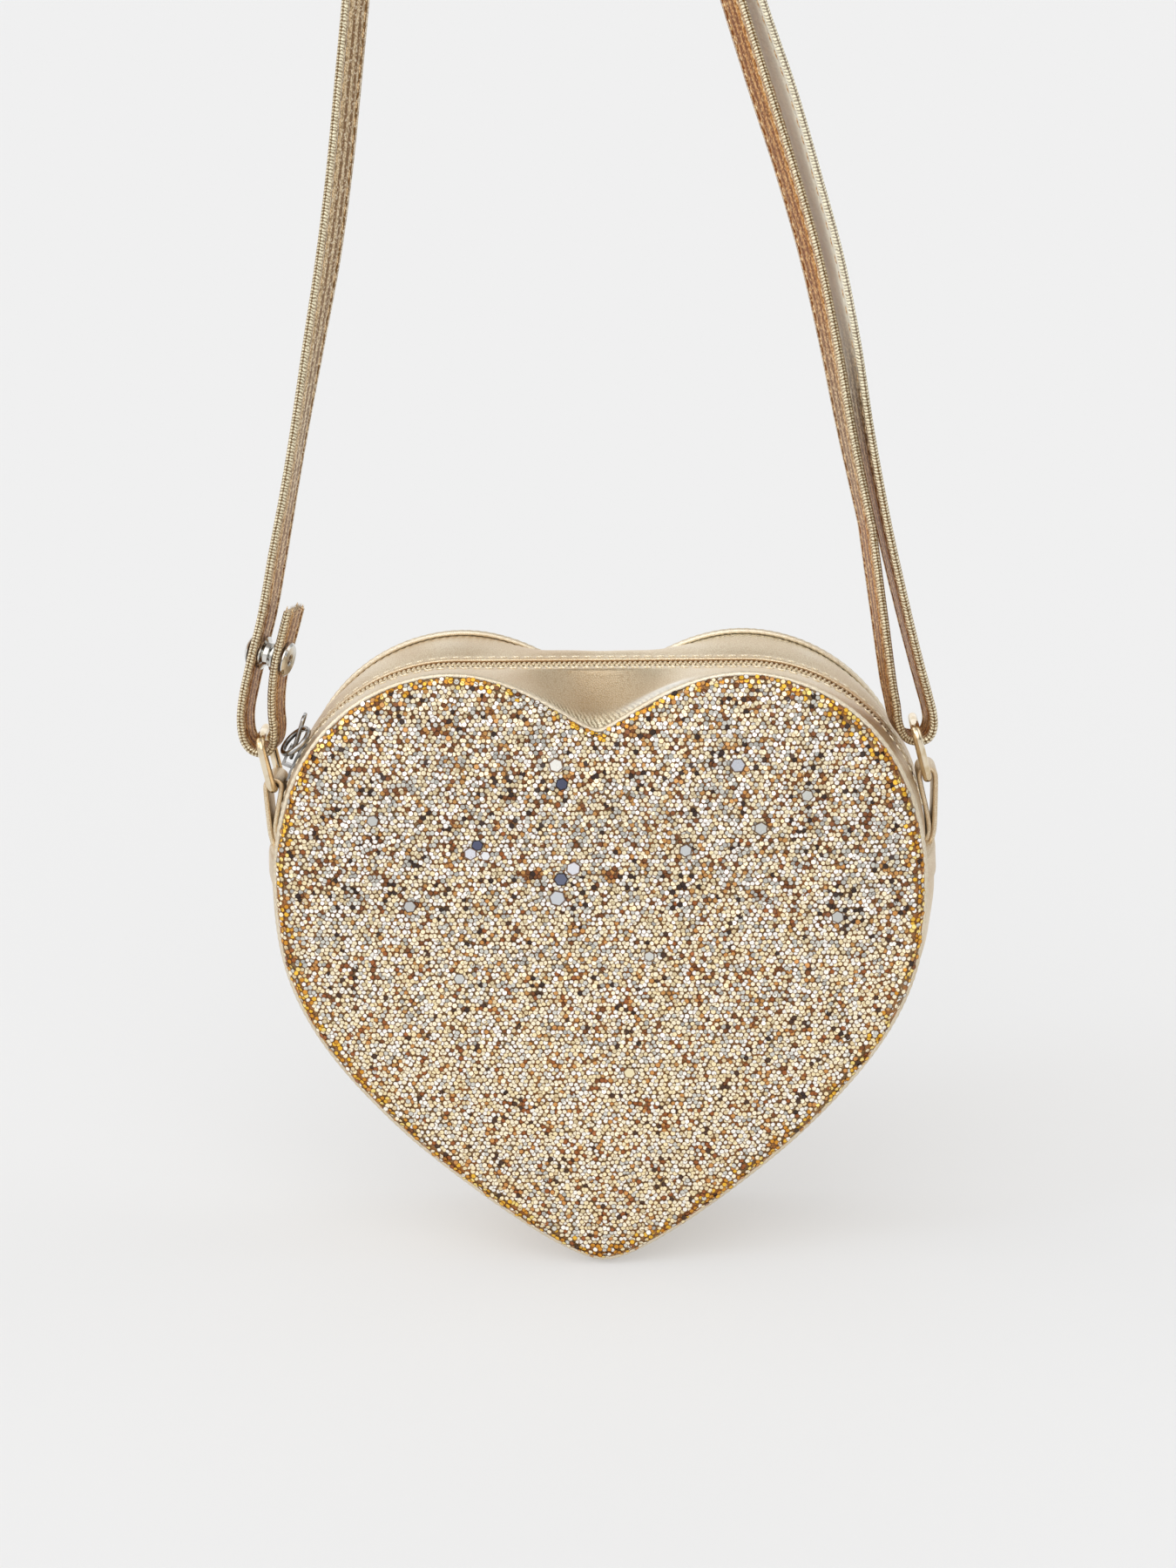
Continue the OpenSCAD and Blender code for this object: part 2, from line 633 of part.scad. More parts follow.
front_panel();
front_board();
back_panel();
back_board();
front_piping();
back_piping();
lower_gusset();
front_zip_gusset();
back_zip_gusset();
front_lining();
back_lining();
gusset_lining();
front_zip_tape();
back_zip_tape();
front_zip_teeth();
back_zip_teeth();
zip_stop_left();
zip_stop_right();
zip_slider();
zip_pull_link();
zip_pull_ring();
left_tab();
right_tab();
left_ring();
right_ring();
strap();
strap_return();
strap_sewn_end();
strap_adjuster();
snap_cap();
snap_socket();
snap_stud();
snap_washer();
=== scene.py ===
"""Heart shaped purse: the finished pieces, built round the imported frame.

Sizes are in millimetres in the bag's own frame: x across, the front face towards -y, and z = 0
at the top of the lobes. BagFrame.place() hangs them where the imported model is, in metres.
"""
import json
import logging
import math
from dataclasses import dataclass, field
from enum import Enum
from typing import Callable, Optional, Sequence, Union

import bmesh
import bpy
import numpy as np
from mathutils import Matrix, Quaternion, Vector

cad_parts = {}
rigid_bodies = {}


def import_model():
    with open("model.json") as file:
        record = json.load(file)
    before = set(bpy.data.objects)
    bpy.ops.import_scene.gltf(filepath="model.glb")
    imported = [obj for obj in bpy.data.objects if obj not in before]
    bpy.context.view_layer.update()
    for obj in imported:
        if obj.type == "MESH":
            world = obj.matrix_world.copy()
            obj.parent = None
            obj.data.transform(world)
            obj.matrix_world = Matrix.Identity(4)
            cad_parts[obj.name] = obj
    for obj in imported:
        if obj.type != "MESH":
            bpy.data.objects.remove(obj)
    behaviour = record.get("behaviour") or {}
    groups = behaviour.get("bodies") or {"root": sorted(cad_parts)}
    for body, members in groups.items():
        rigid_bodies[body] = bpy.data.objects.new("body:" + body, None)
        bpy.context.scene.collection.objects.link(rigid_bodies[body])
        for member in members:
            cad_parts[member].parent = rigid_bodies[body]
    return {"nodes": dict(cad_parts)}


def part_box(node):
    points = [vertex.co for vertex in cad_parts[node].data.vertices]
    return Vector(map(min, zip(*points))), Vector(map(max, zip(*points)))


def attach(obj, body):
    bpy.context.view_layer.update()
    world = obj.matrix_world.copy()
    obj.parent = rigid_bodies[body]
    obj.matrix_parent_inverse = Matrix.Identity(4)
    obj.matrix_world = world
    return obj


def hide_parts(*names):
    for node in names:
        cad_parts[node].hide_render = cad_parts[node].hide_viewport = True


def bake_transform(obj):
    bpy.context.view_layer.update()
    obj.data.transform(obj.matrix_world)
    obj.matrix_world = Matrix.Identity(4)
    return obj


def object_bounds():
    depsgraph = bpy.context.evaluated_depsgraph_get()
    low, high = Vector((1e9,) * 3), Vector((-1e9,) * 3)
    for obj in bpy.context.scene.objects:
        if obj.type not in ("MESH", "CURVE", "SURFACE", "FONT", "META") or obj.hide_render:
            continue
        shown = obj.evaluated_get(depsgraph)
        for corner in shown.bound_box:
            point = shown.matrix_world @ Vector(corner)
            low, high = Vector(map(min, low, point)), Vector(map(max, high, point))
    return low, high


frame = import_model()
cad_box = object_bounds()
log = logging.getLogger("heart_purse")

MM = 0.001

Socket = bpy.types.NodeSocket
Number = Union[float, Socket]
Colour = tuple[float, float, float]


class Face(Enum):
    """The two faces of the bag, by the sign of y."""

    FRONT = -1
    BACK = 1


class Side(Enum):
    """The two sides of the bag as seen from the front, by the sign of x."""

    LEFT = -1
    RIGHT = 1


class Slot(Enum):
    """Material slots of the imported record."""

    GLITTER = "glitter"
    CHAMPAGNE = "champagne_pu"
    PIPING = "piping_pu"
    STRAP = "strap_pu"
    LINING = "lining"
    BOARD = "board"
    TAPE = "zip_tape"
    TEETH = "zip_teeth"
    GUNMETAL = "gunmetal"
    RING = "ring_metal"


def srgb(red: int, green: int, blue: int) -> Colour:
    """Turns a colour written in 0 to 255 steps into linear values."""
    steps = np.array([red, green, blue]) / 255
    linear = np.where(steps <= 0.04045, steps / 12.92, ((steps + 0.055) / 1.055) ** 2.4)
    return tuple(float(value) for value in linear)


# Geometry of the bag


@dataclass(frozen=True)
class BagFrame:
    """Where the bag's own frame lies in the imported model, read from the front panel's box."""

    origin_x: float
    origin_z: float

    @classmethod
    def from_panel(cls) -> "BagFrame":
        """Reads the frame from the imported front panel."""
        low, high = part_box("front_panel")
        return cls((low.x + high.x) / 2, high.z)

    def place(self, points: np.ndarray) -> np.ndarray:
        """Moves points from the bag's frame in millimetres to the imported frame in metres."""
        return np.asarray(points, float) * MM + np.array([self.origin_x, 0.0, self.origin_z])


@dataclass(frozen=True)
class HeartOutline:
    """The heart that both panels are cut to, as four cubic curves from the cleft to the tip."""

    curves: tuple = (
        ((0, -14.5), (5, -14.5), (18.5, 0), (36.8, 0)),
        ((36.8, 0), (54.5, 0), (82, -13.3), (82, -56)),
        ((82, -56), (82, -78.2), (77.1, -94.7), (49.4, -122.1)),
        ((49.4, -122.1), (42.3, -129.1), (10.7, -156), (0, -156)),
    )
    middle: tuple[float, float] = (0.0, -62.0)

    def point(self, u: np.ndarray) -> np.ndarray:
        """Points of the outline.

        Args:
            u: Places along it: 0 at the cleft, 4 at the tip, negative on the left half.

        Returns:
            Rows of x, z in millimetres.
        """
        u = np.asarray(u, float)
        turned = np.where(u > 4, u - 8, u)
        along = np.abs(turned)
        piece = np.minimum(3, along.astype(int))
        t = (along - piece)[..., None]
        c = np.array(self.curves)[piece]
        xz = ((1 - t) ** 3 * c[..., 0, :] + 3 * (1 - t) ** 2 * t * c[..., 1, :]
              + 3 * (1 - t) * t * t * c[..., 2, :] + t ** 3 * c[..., 3, :])
        return xz * np.stack([np.where(turned < 0, -1, 1), np.ones_like(u)], -1)

    def normal(self, u: np.ndarray) -> np.ndarray:
        """Outward directions at places along the outline."""
        step = 0.012
        run = self.point(np.asarray(u) + step) - self.point(np.asarray(u) - step)
        return np.stack([-run[..., 1], run[..., 0]], -1) / np.linalg.norm(
            run, axis=-1, keepdims=True)

    def offset(self, u: np.ndarray, out: Union[float, np.ndarray]) -> np.ndarray:
        """Points of the outline moved outwards by a distance."""
        return self.point(u) + np.asarray(out)[..., None] * self.normal(u)

    def even(self, start: float, stop: float, count: int) -> np.ndarray:
        """Places along the outline that are an even distance apart.

        Args:
            start: First place.
            stop: Last place, past 4 to go over the tip.
            count: How many places, both ends among them.

        Returns:
            The places.
        """
        fine = np.linspace(start, stop, 4000)
        run = np.linalg.norm(np.diff(self.point(fine), axis=0), axis=1)
        length = np.concatenate([[0], np.cumsum(run)])
        return np.interp(np.linspace(0, length[-1], count), length, fine)

    def ring(self, count: int) -> np.ndarray:
        """Points all round the outline, an even distance apart."""
        return self.point(self.even(-4, 4, count + 1)[:-1])

    def shrunk(self, count: int, scales: np.ndarray) -> np.ndarray:
        """Rings of points: the outline at some scales about its middle."""
        middle = np.array(self.middle)
        return middle + scales[:, None, None] * (self.ring(count) - middle)


@dataclass(frozen=True)
class ZipPath:
    """The line that the zip follows: straight over the cleft, and a round arc over each lobe."""

    centre_x: float = 37.3
    centre_z: float = -48.3
    radius: float = 45.0
    end_angle: float = 81.0

    def spokes(self, points: np.ndarray) -> tuple[np.ndarray, np.ndarray, np.ndarray]:
        """Directions from the nearer lobe's middle to some points.

        Args:
            points: Rows of x, z.

        Returns:
            The sign of each x, its size, and the directions on the right half.
        """
        sign = np.where(points[..., 0] < 0, -1.0, 1.0)
        across = np.abs(points[..., 0])
        spoke = np.stack([across - self.centre_x, points[..., 1] - self.centre_z], -1)
        return sign, across, spoke / np.linalg.norm(spoke, axis=-1, keepdims=True)

    def foot(self, points: np.ndarray, out: Union[float, np.ndarray]) -> np.ndarray:
        """Nearest points of the path to points of the heart, moved outwards.

        Args:
            points: Rows of x, z.
            out: Distance outwards from the path.

        Returns:
            Rows of x, z on the path.
        """
        sign, across, spoke = self.spokes(points)
        reach = self.radius + np.asarray(out)
        flat = across <= self.centre_x
        x = np.where(flat, across, self.centre_x + reach * spoke[..., 0])
        z = np.where(flat, self.centre_z + reach, self.centre_z + reach * spoke[..., 1])
        return np.stack([sign * x, z], -1)

    def normal(self, points: np.ndarray) -> np.ndarray:
        """Outward directions of the path beside points of the heart."""
        sign, across, spoke = self.spokes(points)
        up = np.where((across <= self.centre_x)[..., None], np.array([0.0, 1.0]), spoke)
        return up * np.stack([sign, np.ones_like(sign)], -1)

    def run(self, from_angle: float, to_angle: float, pitch: float) -> tuple:
        """Walks the path from one angle over a lobe to another over the other lobe.

        Args:
            from_angle: Where it starts, negative over the left lobe, in degrees from the top.
            to_angle: Where it ends.
            pitch: Distance between the points.

        Returns:
            Rows of x, z, and rows of the outward directions there.
        """
        first = math.radians(-from_angle) * self.radius
        last = math.radians(to_angle) * self.radius
        straight = 2 * self.centre_x
        count = int((first + straight + last) / pitch)
        s = np.linspace(-first, straight + last, count + 1)
        beyond = np.where(s < 0, s, np.where(s > straight, s - straight, 0)) / self.radius
        hub = np.clip(s, 0, straight) - self.centre_x
        out = np.stack([np.sin(beyond), np.cos(beyond)], -1)
        return np.stack([hub, np.full_like(hub, self.centre_z)], -1) + self.radius * out, out


def ripple(a: np.ndarray, b: np.ndarray, size: float, seed: int) -> np.ndarray:
    """A smooth unevenness between -1 and 1, made of a few crossed waves.

    Args:
        a: First coordinate, in millimetres.
        b: Second coordinate, in millimetres.
        size: Rough distance between humps.
        seed: Picks the waves.

    Returns:
        The height at each place.
    """
    rng = np.random.default_rng(seed)
    total = np.zeros(np.broadcast(a, b).shape)
    waves, loudness = 7, 1.6
    for _ in range(waves):
        angle, phase, stretch = (rng.uniform(0, math.tau), rng.uniform(0, math.tau),
                                 rng.uniform(0.6, 1.7))
        total += np.sin((a * math.cos(angle) + b * math.sin(angle)) * math.tau / size * stretch
                        + phase)
    return total / waves * loudness


def upright(xz: np.ndarray, y: Union[float, np.ndarray]) -> np.ndarray:
    """Rows of x, y, z from rows of x, z and the y of each."""
    return np.stack([xz[..., 0], np.broadcast_to(y, xz.shape[:-1]), xz[..., 1]], -1)


def smoothed(line: np.ndarray, passes: int) -> np.ndarray:
    """Evens out rows of points by their neighbours, with the two ends held."""
    line = line.copy()
    for _ in range(passes):
        line[1:-1] = 0.25 * line[:-2] + 0.5 * line[1:-1] + 0.25 * line[2:]
    return line


# Making meshes


@dataclass
class Workshop:
    """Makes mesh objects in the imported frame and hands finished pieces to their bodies."""

    bag: BagFrame
    finishes: "Finishes"

    @staticmethod
    def place(name: str, data: bpy.types.ID) -> bpy.types.Object:
        """Makes an object of some data and links it to the scene."""
        thing = bpy.data.objects.new(name, data)
        bpy.context.scene.collection.objects.link(thing)
        return thing

    @staticmethod
    def mark(mesh: bpy.types.Mesh, name: str, values: np.ndarray) -> None:
        """Stores a value at each point of a mesh.

        Args:
            mesh: The mesh.
            name: The attribute's name.
            values: A number, a direction or a colour for each point.
        """
        kind, key = {1: ("FLOAT", "value"), 3: ("FLOAT_VECTOR", "vector"),
                     4: ("FLOAT_COLOR", "color")}[np.size(values) // len(values)]
        store = mesh.attributes.new(name, kind, "POINT")
        store.data.foreach_set(key, np.asarray(values, np.float32).ravel())

    def piece(self, name: str, points: np.ndarray, faces: Sequence, smooth: bool = True,
              attributes: Optional[dict[str, np.ndarray]] = None) -> bpy.types.Object:
        """Makes a mesh object.

        Args:
            name: The object's name.
            points: Rows of x, y, z in the bag's frame.
            faces: Tuples of point numbers.
            smooth: Whether it is shaded smooth.
            attributes: Values by name, one for each point.

        Returns:
            The new object, linked to the scene.
        """
        mesh = bpy.data.meshes.new(name)
        mesh.from_pydata(self.bag.place(points).tolist(), [], [tuple(f) for f in faces])
        for key, values in (attributes or {}).items():
            self.mark(mesh, key, values)
        mesh.polygons.foreach_set("use_smooth", [smooth and len(f) <= 4 for f in faces])
        mesh.validate()
        return self.place(name, mesh)

    def line(self, name: str, points: np.ndarray, up: np.ndarray) -> bpy.types.Object:
        """Makes a line of edges that carries the outward direction at each point.

        Args:
            name: The object's name.
            points: Rows of x, y, z in the bag's frame.
            up: Rows of outward directions.

        Returns:
            The new object, linked to the scene.
        """
        edges = [(i, i + 1) for i in range(len(points) - 1)]
        mesh = bpy.data.meshes.new(name)
        mesh.from_pydata(self.bag.place(points).tolist(), edges, [])
        self.mark(mesh, "up", up)
        return self.place(name, mesh)

    def bake(self, thing: bpy.types.Object) -> bpy.types.Object:
        """Turns an object and its modifiers into a plain mesh with no modifier left."""
        graph = bpy.context.evaluated_depsgraph_get()
        mesh = bpy.data.meshes.new_from_object(thing.evaluated_get(graph), depsgraph=graph,
                                               preserve_all_data_layers=True)
        name = thing.name
        bpy.data.objects.remove(thing)
        mesh.name = name
        return self.place(name, mesh)

    def bevel(self, thing: bpy.types.Object, width: float) -> bpy.types.Object:
        """Rounds the sharp edges of a mesh by a width in millimetres and bakes it."""
        edge = thing.modifiers.new("edge", "BEVEL")
        edge.width = width * MM
        edge.segments = 3
        edge.limit_method = "ANGLE"
        edge.angle_limit = math.radians(35.0)
        edge.harden_normals = False
        return self.bake(thing)

    def copy_of(self, node: str, name: str, smooth: bool = False) -> bpy.types.Object:
        """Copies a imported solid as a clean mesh: points merged and flat faces joined.

        Args:
            node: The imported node.
            name: The copy's name.
            smooth: Whether it is shaded smooth.

        Returns:
            The copy.
        """
        mesh = frame["nodes"][node].data.copy()
        work = bmesh.new()
        work.from_mesh(mesh)
        bmesh.ops.remove_doubles(work, verts=work.verts, dist=0.004 * MM)
        bmesh.ops.dissolve_limit(work, angle_limit=math.radians(1.0), verts=work.verts,
                                 edges=work.edges)
        work.to_mesh(mesh)
        work.free()
        mesh.materials.clear()
        if smooth:
            mesh.polygons.foreach_set("use_smooth", [True] * len(mesh.polygons))
        return self.place(name, mesh)

    def hand_over(self, thing: bpy.types.Object, body: str, finish: str,
                  stands_for: Sequence[str] = ()) -> None:
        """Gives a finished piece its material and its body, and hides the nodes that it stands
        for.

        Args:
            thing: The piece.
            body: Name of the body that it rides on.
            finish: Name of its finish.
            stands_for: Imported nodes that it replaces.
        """
        if not thing.data.materials:
            thing.data.materials.append(self.finishes.materials[finish])
        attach(thing, body)
        if stands_for:
            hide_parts(*stands_for)
        log.info("%s: %d faces on %s", thing.name, len(thing.data.polygons), body)


def grid_faces(rows: int, cols: int, wrap: bool = False, first: int = 0) -> list:
    """Quads of a grid of points, numbered from first, with rows that may join their start."""
    last = cols if wrap else cols - 1
    return [(first + i * cols + j, first + i * cols + (j + 1) % cols,
             first + (i + 1) * cols + (j + 1) % cols, first + (i + 1) * cols + j)
            for i in range(rows - 1) for j in range(last)]


def shell(outer: np.ndarray, inner: np.ndarray) -> tuple[np.ndarray, list]:
    """A closed sheet between two grids of points.

    Args:
        outer: Points by row and column.
        inner: The same grid on the other side of the sheet.

    Returns:
        Points and faces.
    """
    rows, cols = outer.shape[:2]
    half = rows * cols
    faces = grid_faces(rows, cols)
    faces += [f[::-1] for f in grid_faces(rows, cols, first=half)]
    rim = ([i * cols for i in range(rows)]
           + [(rows - 1) * cols + j for j in range(1, cols)]
           + [i * cols + cols - 1 for i in range(rows - 2, -1, -1)]
           + [j for j in range(cols - 2, 0, -1)])
    faces += [(a, b, b + half, a + half) for a, b in zip(rim, rim[1:] + rim[:1])]
    return np.concatenate([outer.reshape(-1, 3), inner.reshape(-1, 3)]), faces


def dome(rings: np.ndarray, inside: np.ndarray) -> tuple[np.ndarray, list]:
    """A closed cap from rings of points, with a fan at its middle and one behind it.

    Args:
        rings: Points by ring, from the rim to the middle, and place in the ring.
        inside: The middle point of the fan behind.

    Returns:
        Points and faces.
    """
    rows, cols = rings.shape[:2]
    verts = np.concatenate([rings.reshape(-1, 3), [rings[-1].mean(axis=0)], [inside]])
    hub, last = rows * cols, (rows - 1) * cols
    faces = grid_faces(rows, cols, wrap=True)
    faces += [(last + j, last + (j + 1) % cols, hub) for j in range(cols)]
    faces += [((j + 1) % cols, j, hub + 1) for j in range(cols)]
    return verts, faces


def tube(rings: np.ndarray, closed: bool = False) -> tuple[np.ndarray, list]:
    """A tube from rings of points, joined to its own start or closed at both ends.

    Args:
        rings: Points by ring and place in the ring.
        closed: Whether the last ring joins the first.

    Returns:
        Points and faces.
    """
    count, around = rings.shape[:2]
    faces = []
    for i in range(count if closed else count - 1):
        a, b = i * around, ((i + 1) % count) * around
        faces += [(a + j, a + (j + 1) % around, b + (j + 1) % around, b + j)
                  for j in range(around)]
    if not closed:
        faces.append(tuple(range(around - 1, -1, -1)))
        faces.append(tuple((count - 1) * around + j for j in range(around)))
    return rings.reshape(-1, 3), faces


def fix_normals(thing: bpy.types.Object) -> None:
    """Turns all faces of a closed mesh outwards."""
    work = bmesh.new()
    work.from_mesh(thing.data)
    bmesh.ops.recalc_face_normals(work, faces=work.faces)
    work.to_mesh(thing.data)
    work.free()


# Node trees


class Wiring:
    """Adds nodes to one tree and joins them."""

    def __init__(self, tree: bpy.types.NodeTree) -> None:
        """Starts work on a tree."""
        self.tree = tree

    def feed(self, socket: Socket, value: object) -> None:
        """Joins a socket to another one, or sets its value."""
        if isinstance(value, bpy.types.NodeSocket):
            self.tree.links.new(value, socket)
        else:
            socket.default_value = value

    def node(self, kind: str, feeds: Optional[dict] = None, **settings: object
             ) -> bpy.types.Node:
        """Adds a node.

        Args:
            kind: The node's type.
            feeds: What its inputs get, by their name or number.
            settings: Its properties.

        Returns:
            The node.
        """
        made = self.tree.nodes.new(kind)
        for key, value in settings.items():
            setattr(made, key, value)
        for key, value in (feeds or {}).items():
            self.feed(made.inputs[key], value)
        return made

    def out(self, kind: str, feeds: Optional[dict] = None, **settings: object) -> Socket:
        """Adds a node and returns its first output."""
        return self.node(kind, feeds, **settings).outputs[0]

    def math(self, operation: str, a: Number, b: Number = 0.0, clamp: bool = False) -> Socket:
        """Adds a math node and returns its result."""
        return self.out("ShaderNodeMath", {0: a, 1: b}, operation=operation, use_clamp=clamp)

    def times(self, a: Number, b: Number, clamp: bool = False) -> Socket:
        """Multiplies two numbers."""
        return self.math("MULTIPLY", a, b, clamp)

    def plus(self, a: Number, b: Number, clamp: bool = False) -> Socket:
        """Adds two numbers."""
        return self.math("ADD", a, b, clamp)

    def step(self, value: Number, low: float, high: float) -> Socket:
        """A smooth step from 0 at low to 1 at high."""
        return self.out("ShaderNodeMapRange", {"Value": value, "From Min": low,
                                               "From Max": high},
                        interpolation_type="SMOOTHSTEP")

    def mix(self, share: Number, a: object, b: object, blend: str = "MIX") -> Socket:
        """Mixes two colours."""
        first, second = ((*c, 1.0) if isinstance(c, tuple) else c for c in (a, b))
        return self.node("ShaderNodeMix", {0: share, 6: first, 7: second}, data_type="RGBA",
                         blend_type=blend).outputs[2]

    def palette(self, value: Socket, steps: Sequence[tuple[float, Colour]]) -> Socket:
        """Picks a colour by a value.

        Args:
            value: A number from 0 to 1.
            steps: Where each colour starts, and the colour.

        Returns:
            The colour socket.
        """
        made = self.node("ShaderNodeValToRGB", {0: value})
        ramp = made.color_ramp
        ramp.interpolation = "CONSTANT"
        while len(ramp.elements) < len(steps):
            ramp.elements.new(0.5)
        for element, (at, colour) in zip(ramp.elements, steps):
            element.position = at
            element.color = (*colour, 1.0)
        return made.outputs[0]

    def noise(self, where: Socket, scale: float, detail: float = 2.0,
              rough: float = 0.5) -> Socket:
        """Adds a noise texture and returns its value."""
        return self.out("ShaderNodeTexNoise", {"Vector": where, "Scale": scale,
                                               "Detail": detail, "Roughness": rough})

    def mark(self, name: str) -> Socket:
        """A number that the piece carries at each point."""
        return self.node("ShaderNodeAttribute", attribute_name=name).outputs["Fac"]


class Effect:
    """A shader node group: what it takes, what it gives, and how it is wired."""

    def __init__(self, name: str, takes: dict[str, float], gives: Sequence[str],
                 build: Callable[[Wiring, dict[str, Socket]], dict[str, Socket]]) -> None:
        """Builds the group.

        Args:
            name: The group's name.
            takes: Its number inputs and their usual values.
            gives: Its outputs.
            build: Wires the group: gets its inputs by name and returns its outputs by name.
        """
        self.tree = bpy.data.node_groups.new(name, "ShaderNodeTree")
        for key, value in takes.items():
            made = self.tree.interface.new_socket(key, in_out="INPUT",
                                                  socket_type="NodeSocketFloat")
            made.default_value = value
        for key in gives:
            self.tree.interface.new_socket(key, in_out="OUTPUT", socket_type="NodeSocketFloat")
        wiring = Wiring(self.tree)
        start = wiring.node("NodeGroupInput").outputs
        wiring.node("NodeGroupOutput", build(wiring, {key: start[key] for key in takes}))

    def place(self, wiring: Wiring, **values: float) -> dict[str, Socket]:
        """Puts the group in a material and returns its outputs by name."""
        made = wiring.node("ShaderNodeGroup", values, node_tree=self.tree)
        return {s.name: s for s in made.outputs}


def object_place(wiring: Wiring) -> Socket:
    """The place on the piece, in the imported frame."""
    return wiring.node("ShaderNodeTexCoord").outputs["Object"]


def in_steps(wiring: Wiring, where: Socket, size: Number, turn: float = 1.0) -> Socket:
    """A place counted in steps of a size in millimetres, each of them a turn."""
    return wiring.out("ShaderNodeVectorMath", {
        0: where, "Scale": wiring.math("DIVIDE", turn / MM, size)}, operation="SCALE")


class Effects:
    """The effects that more than one finish uses."""

    def __init__(self) -> None:
        """Builds each effect once."""
        self.grain = Effect("coated_grain", {"Cell": 0.55, "Crease": 6.0},
                            ("Height", "Pits", "Tone"), self._grain)
        self.wear = Effect("metal_wear", {"Scratch": 1.2, "Smudge": 4.0},
                           ("Roughness", "Height", "Tone"), self._wear)
        self.weave = Effect("plain_weave", {"Thread": 0.35}, ("Height", "Tone"), self._weave)

    @staticmethod
    def _grain(w: Wiring, takes: dict[str, Socket]) -> dict[str, Socket]:
        """Pebbled coating: small cells, soft creases and a slow change of tone."""
        where = object_place(w)
        cells = w.out("ShaderNodeTexVoronoi", {"Vector": in_steps(w, where, takes["Cell"]),
                                               "Scale": 1.0}, feature="DISTANCE_TO_EDGE")
        pits = w.step(cells, 0.0, 0.22)
        crease = w.noise(in_steps(w, where, takes["Crease"]), 1.0, 3.0)
        height = w.plus(w.times(pits, 0.6), w.times(crease, 0.8))
        return {"Height": height, "Pits": w.math("SUBTRACT", 1.0, pits),
                "Tone": w.noise(where, 1 / (28 * MM), 2.0)}

    @staticmethod
    def _wear(w: Wiring, takes: dict[str, Socket]) -> dict[str, Socket]:
        """Polished plating: fine scratches over soft smudges."""
        where = object_place(w)
        smudge = w.noise(in_steps(w, where, takes["Smudge"]), 1.0)
        stretch = w.out("ShaderNodeMapping", {
            "Vector": in_steps(w, where, takes["Scratch"]), "Scale": (6.0, 0.7, 1.0),
            "Rotation": (0.3, 0.5, 0.2)})
        return {"Roughness": w.plus(0.14, w.times(smudge, 0.2)),
                "Height": w.noise(stretch, 2.0, 2.0, 0.6), "Tone": smudge}

    @staticmethod
    def _weave(w: Wiring, takes: dict[str, Socket]) -> dict[str, Socket]:
        """A plain weave of crossed threads."""
        where = in_steps(w, object_place(w), takes["Thread"], math.tau)
        parts = w.node("ShaderNodeSeparateXYZ", {0: where})
        warp = w.math("SINE", w.plus(parts.outputs[0], parts.outputs[1]))
        weft = w.math("SINE", w.math("SUBTRACT", parts.outputs[2], parts.outputs[1]))
        return {"Height": w.times(w.plus(w.times(warp, weft), 1.0), 0.5),
                "Tone": w.noise(object_place(w), 1 / (3 * MM))}


@dataclass
class Finish:
    """A material being wired: its shader, its colour and its bump."""

    name: str
    metallic: float = 0.0
    roughness: float = 0.5

    def start(self) -> tuple[bpy.types.Material, Wiring, bpy.types.Node]:
        """Makes the material with an empty shader.

        Returns:
            The material, its wiring, and its Principled BSDF.
        """
        made = bpy.data.materials.new(self.name)
        made.use_nodes = True
        made.node_tree.nodes.clear()
        w = Wiring(made.node_tree)
        shader = w.node("ShaderNodeBsdfPrincipled", {"Metallic": self.metallic,
                                                     "Roughness": self.roughness})
        w.node("ShaderNodeOutputMaterial", {"Surface": shader.outputs[0]})
        return made, w, shader

    @staticmethod
    def dress(w: Wiring, shader: bpy.types.Node, base: Socket, height: Socket,
              depth: float) -> None:
        """Gives the shader its colour and its bump.

        Args:
            w: The material's wiring.
            shader: Its Principled BSDF.
            base: The colour.
            height: The height, from 0 to 1.
            depth: What a height of 1 is, in millimetres.
        """
        w.feed(shader.inputs["Base Color"], base)
        w.feed(shader.inputs["Normal"],
               w.out("ShaderNodeBump", {"Distance": depth * MM, "Height": height}))


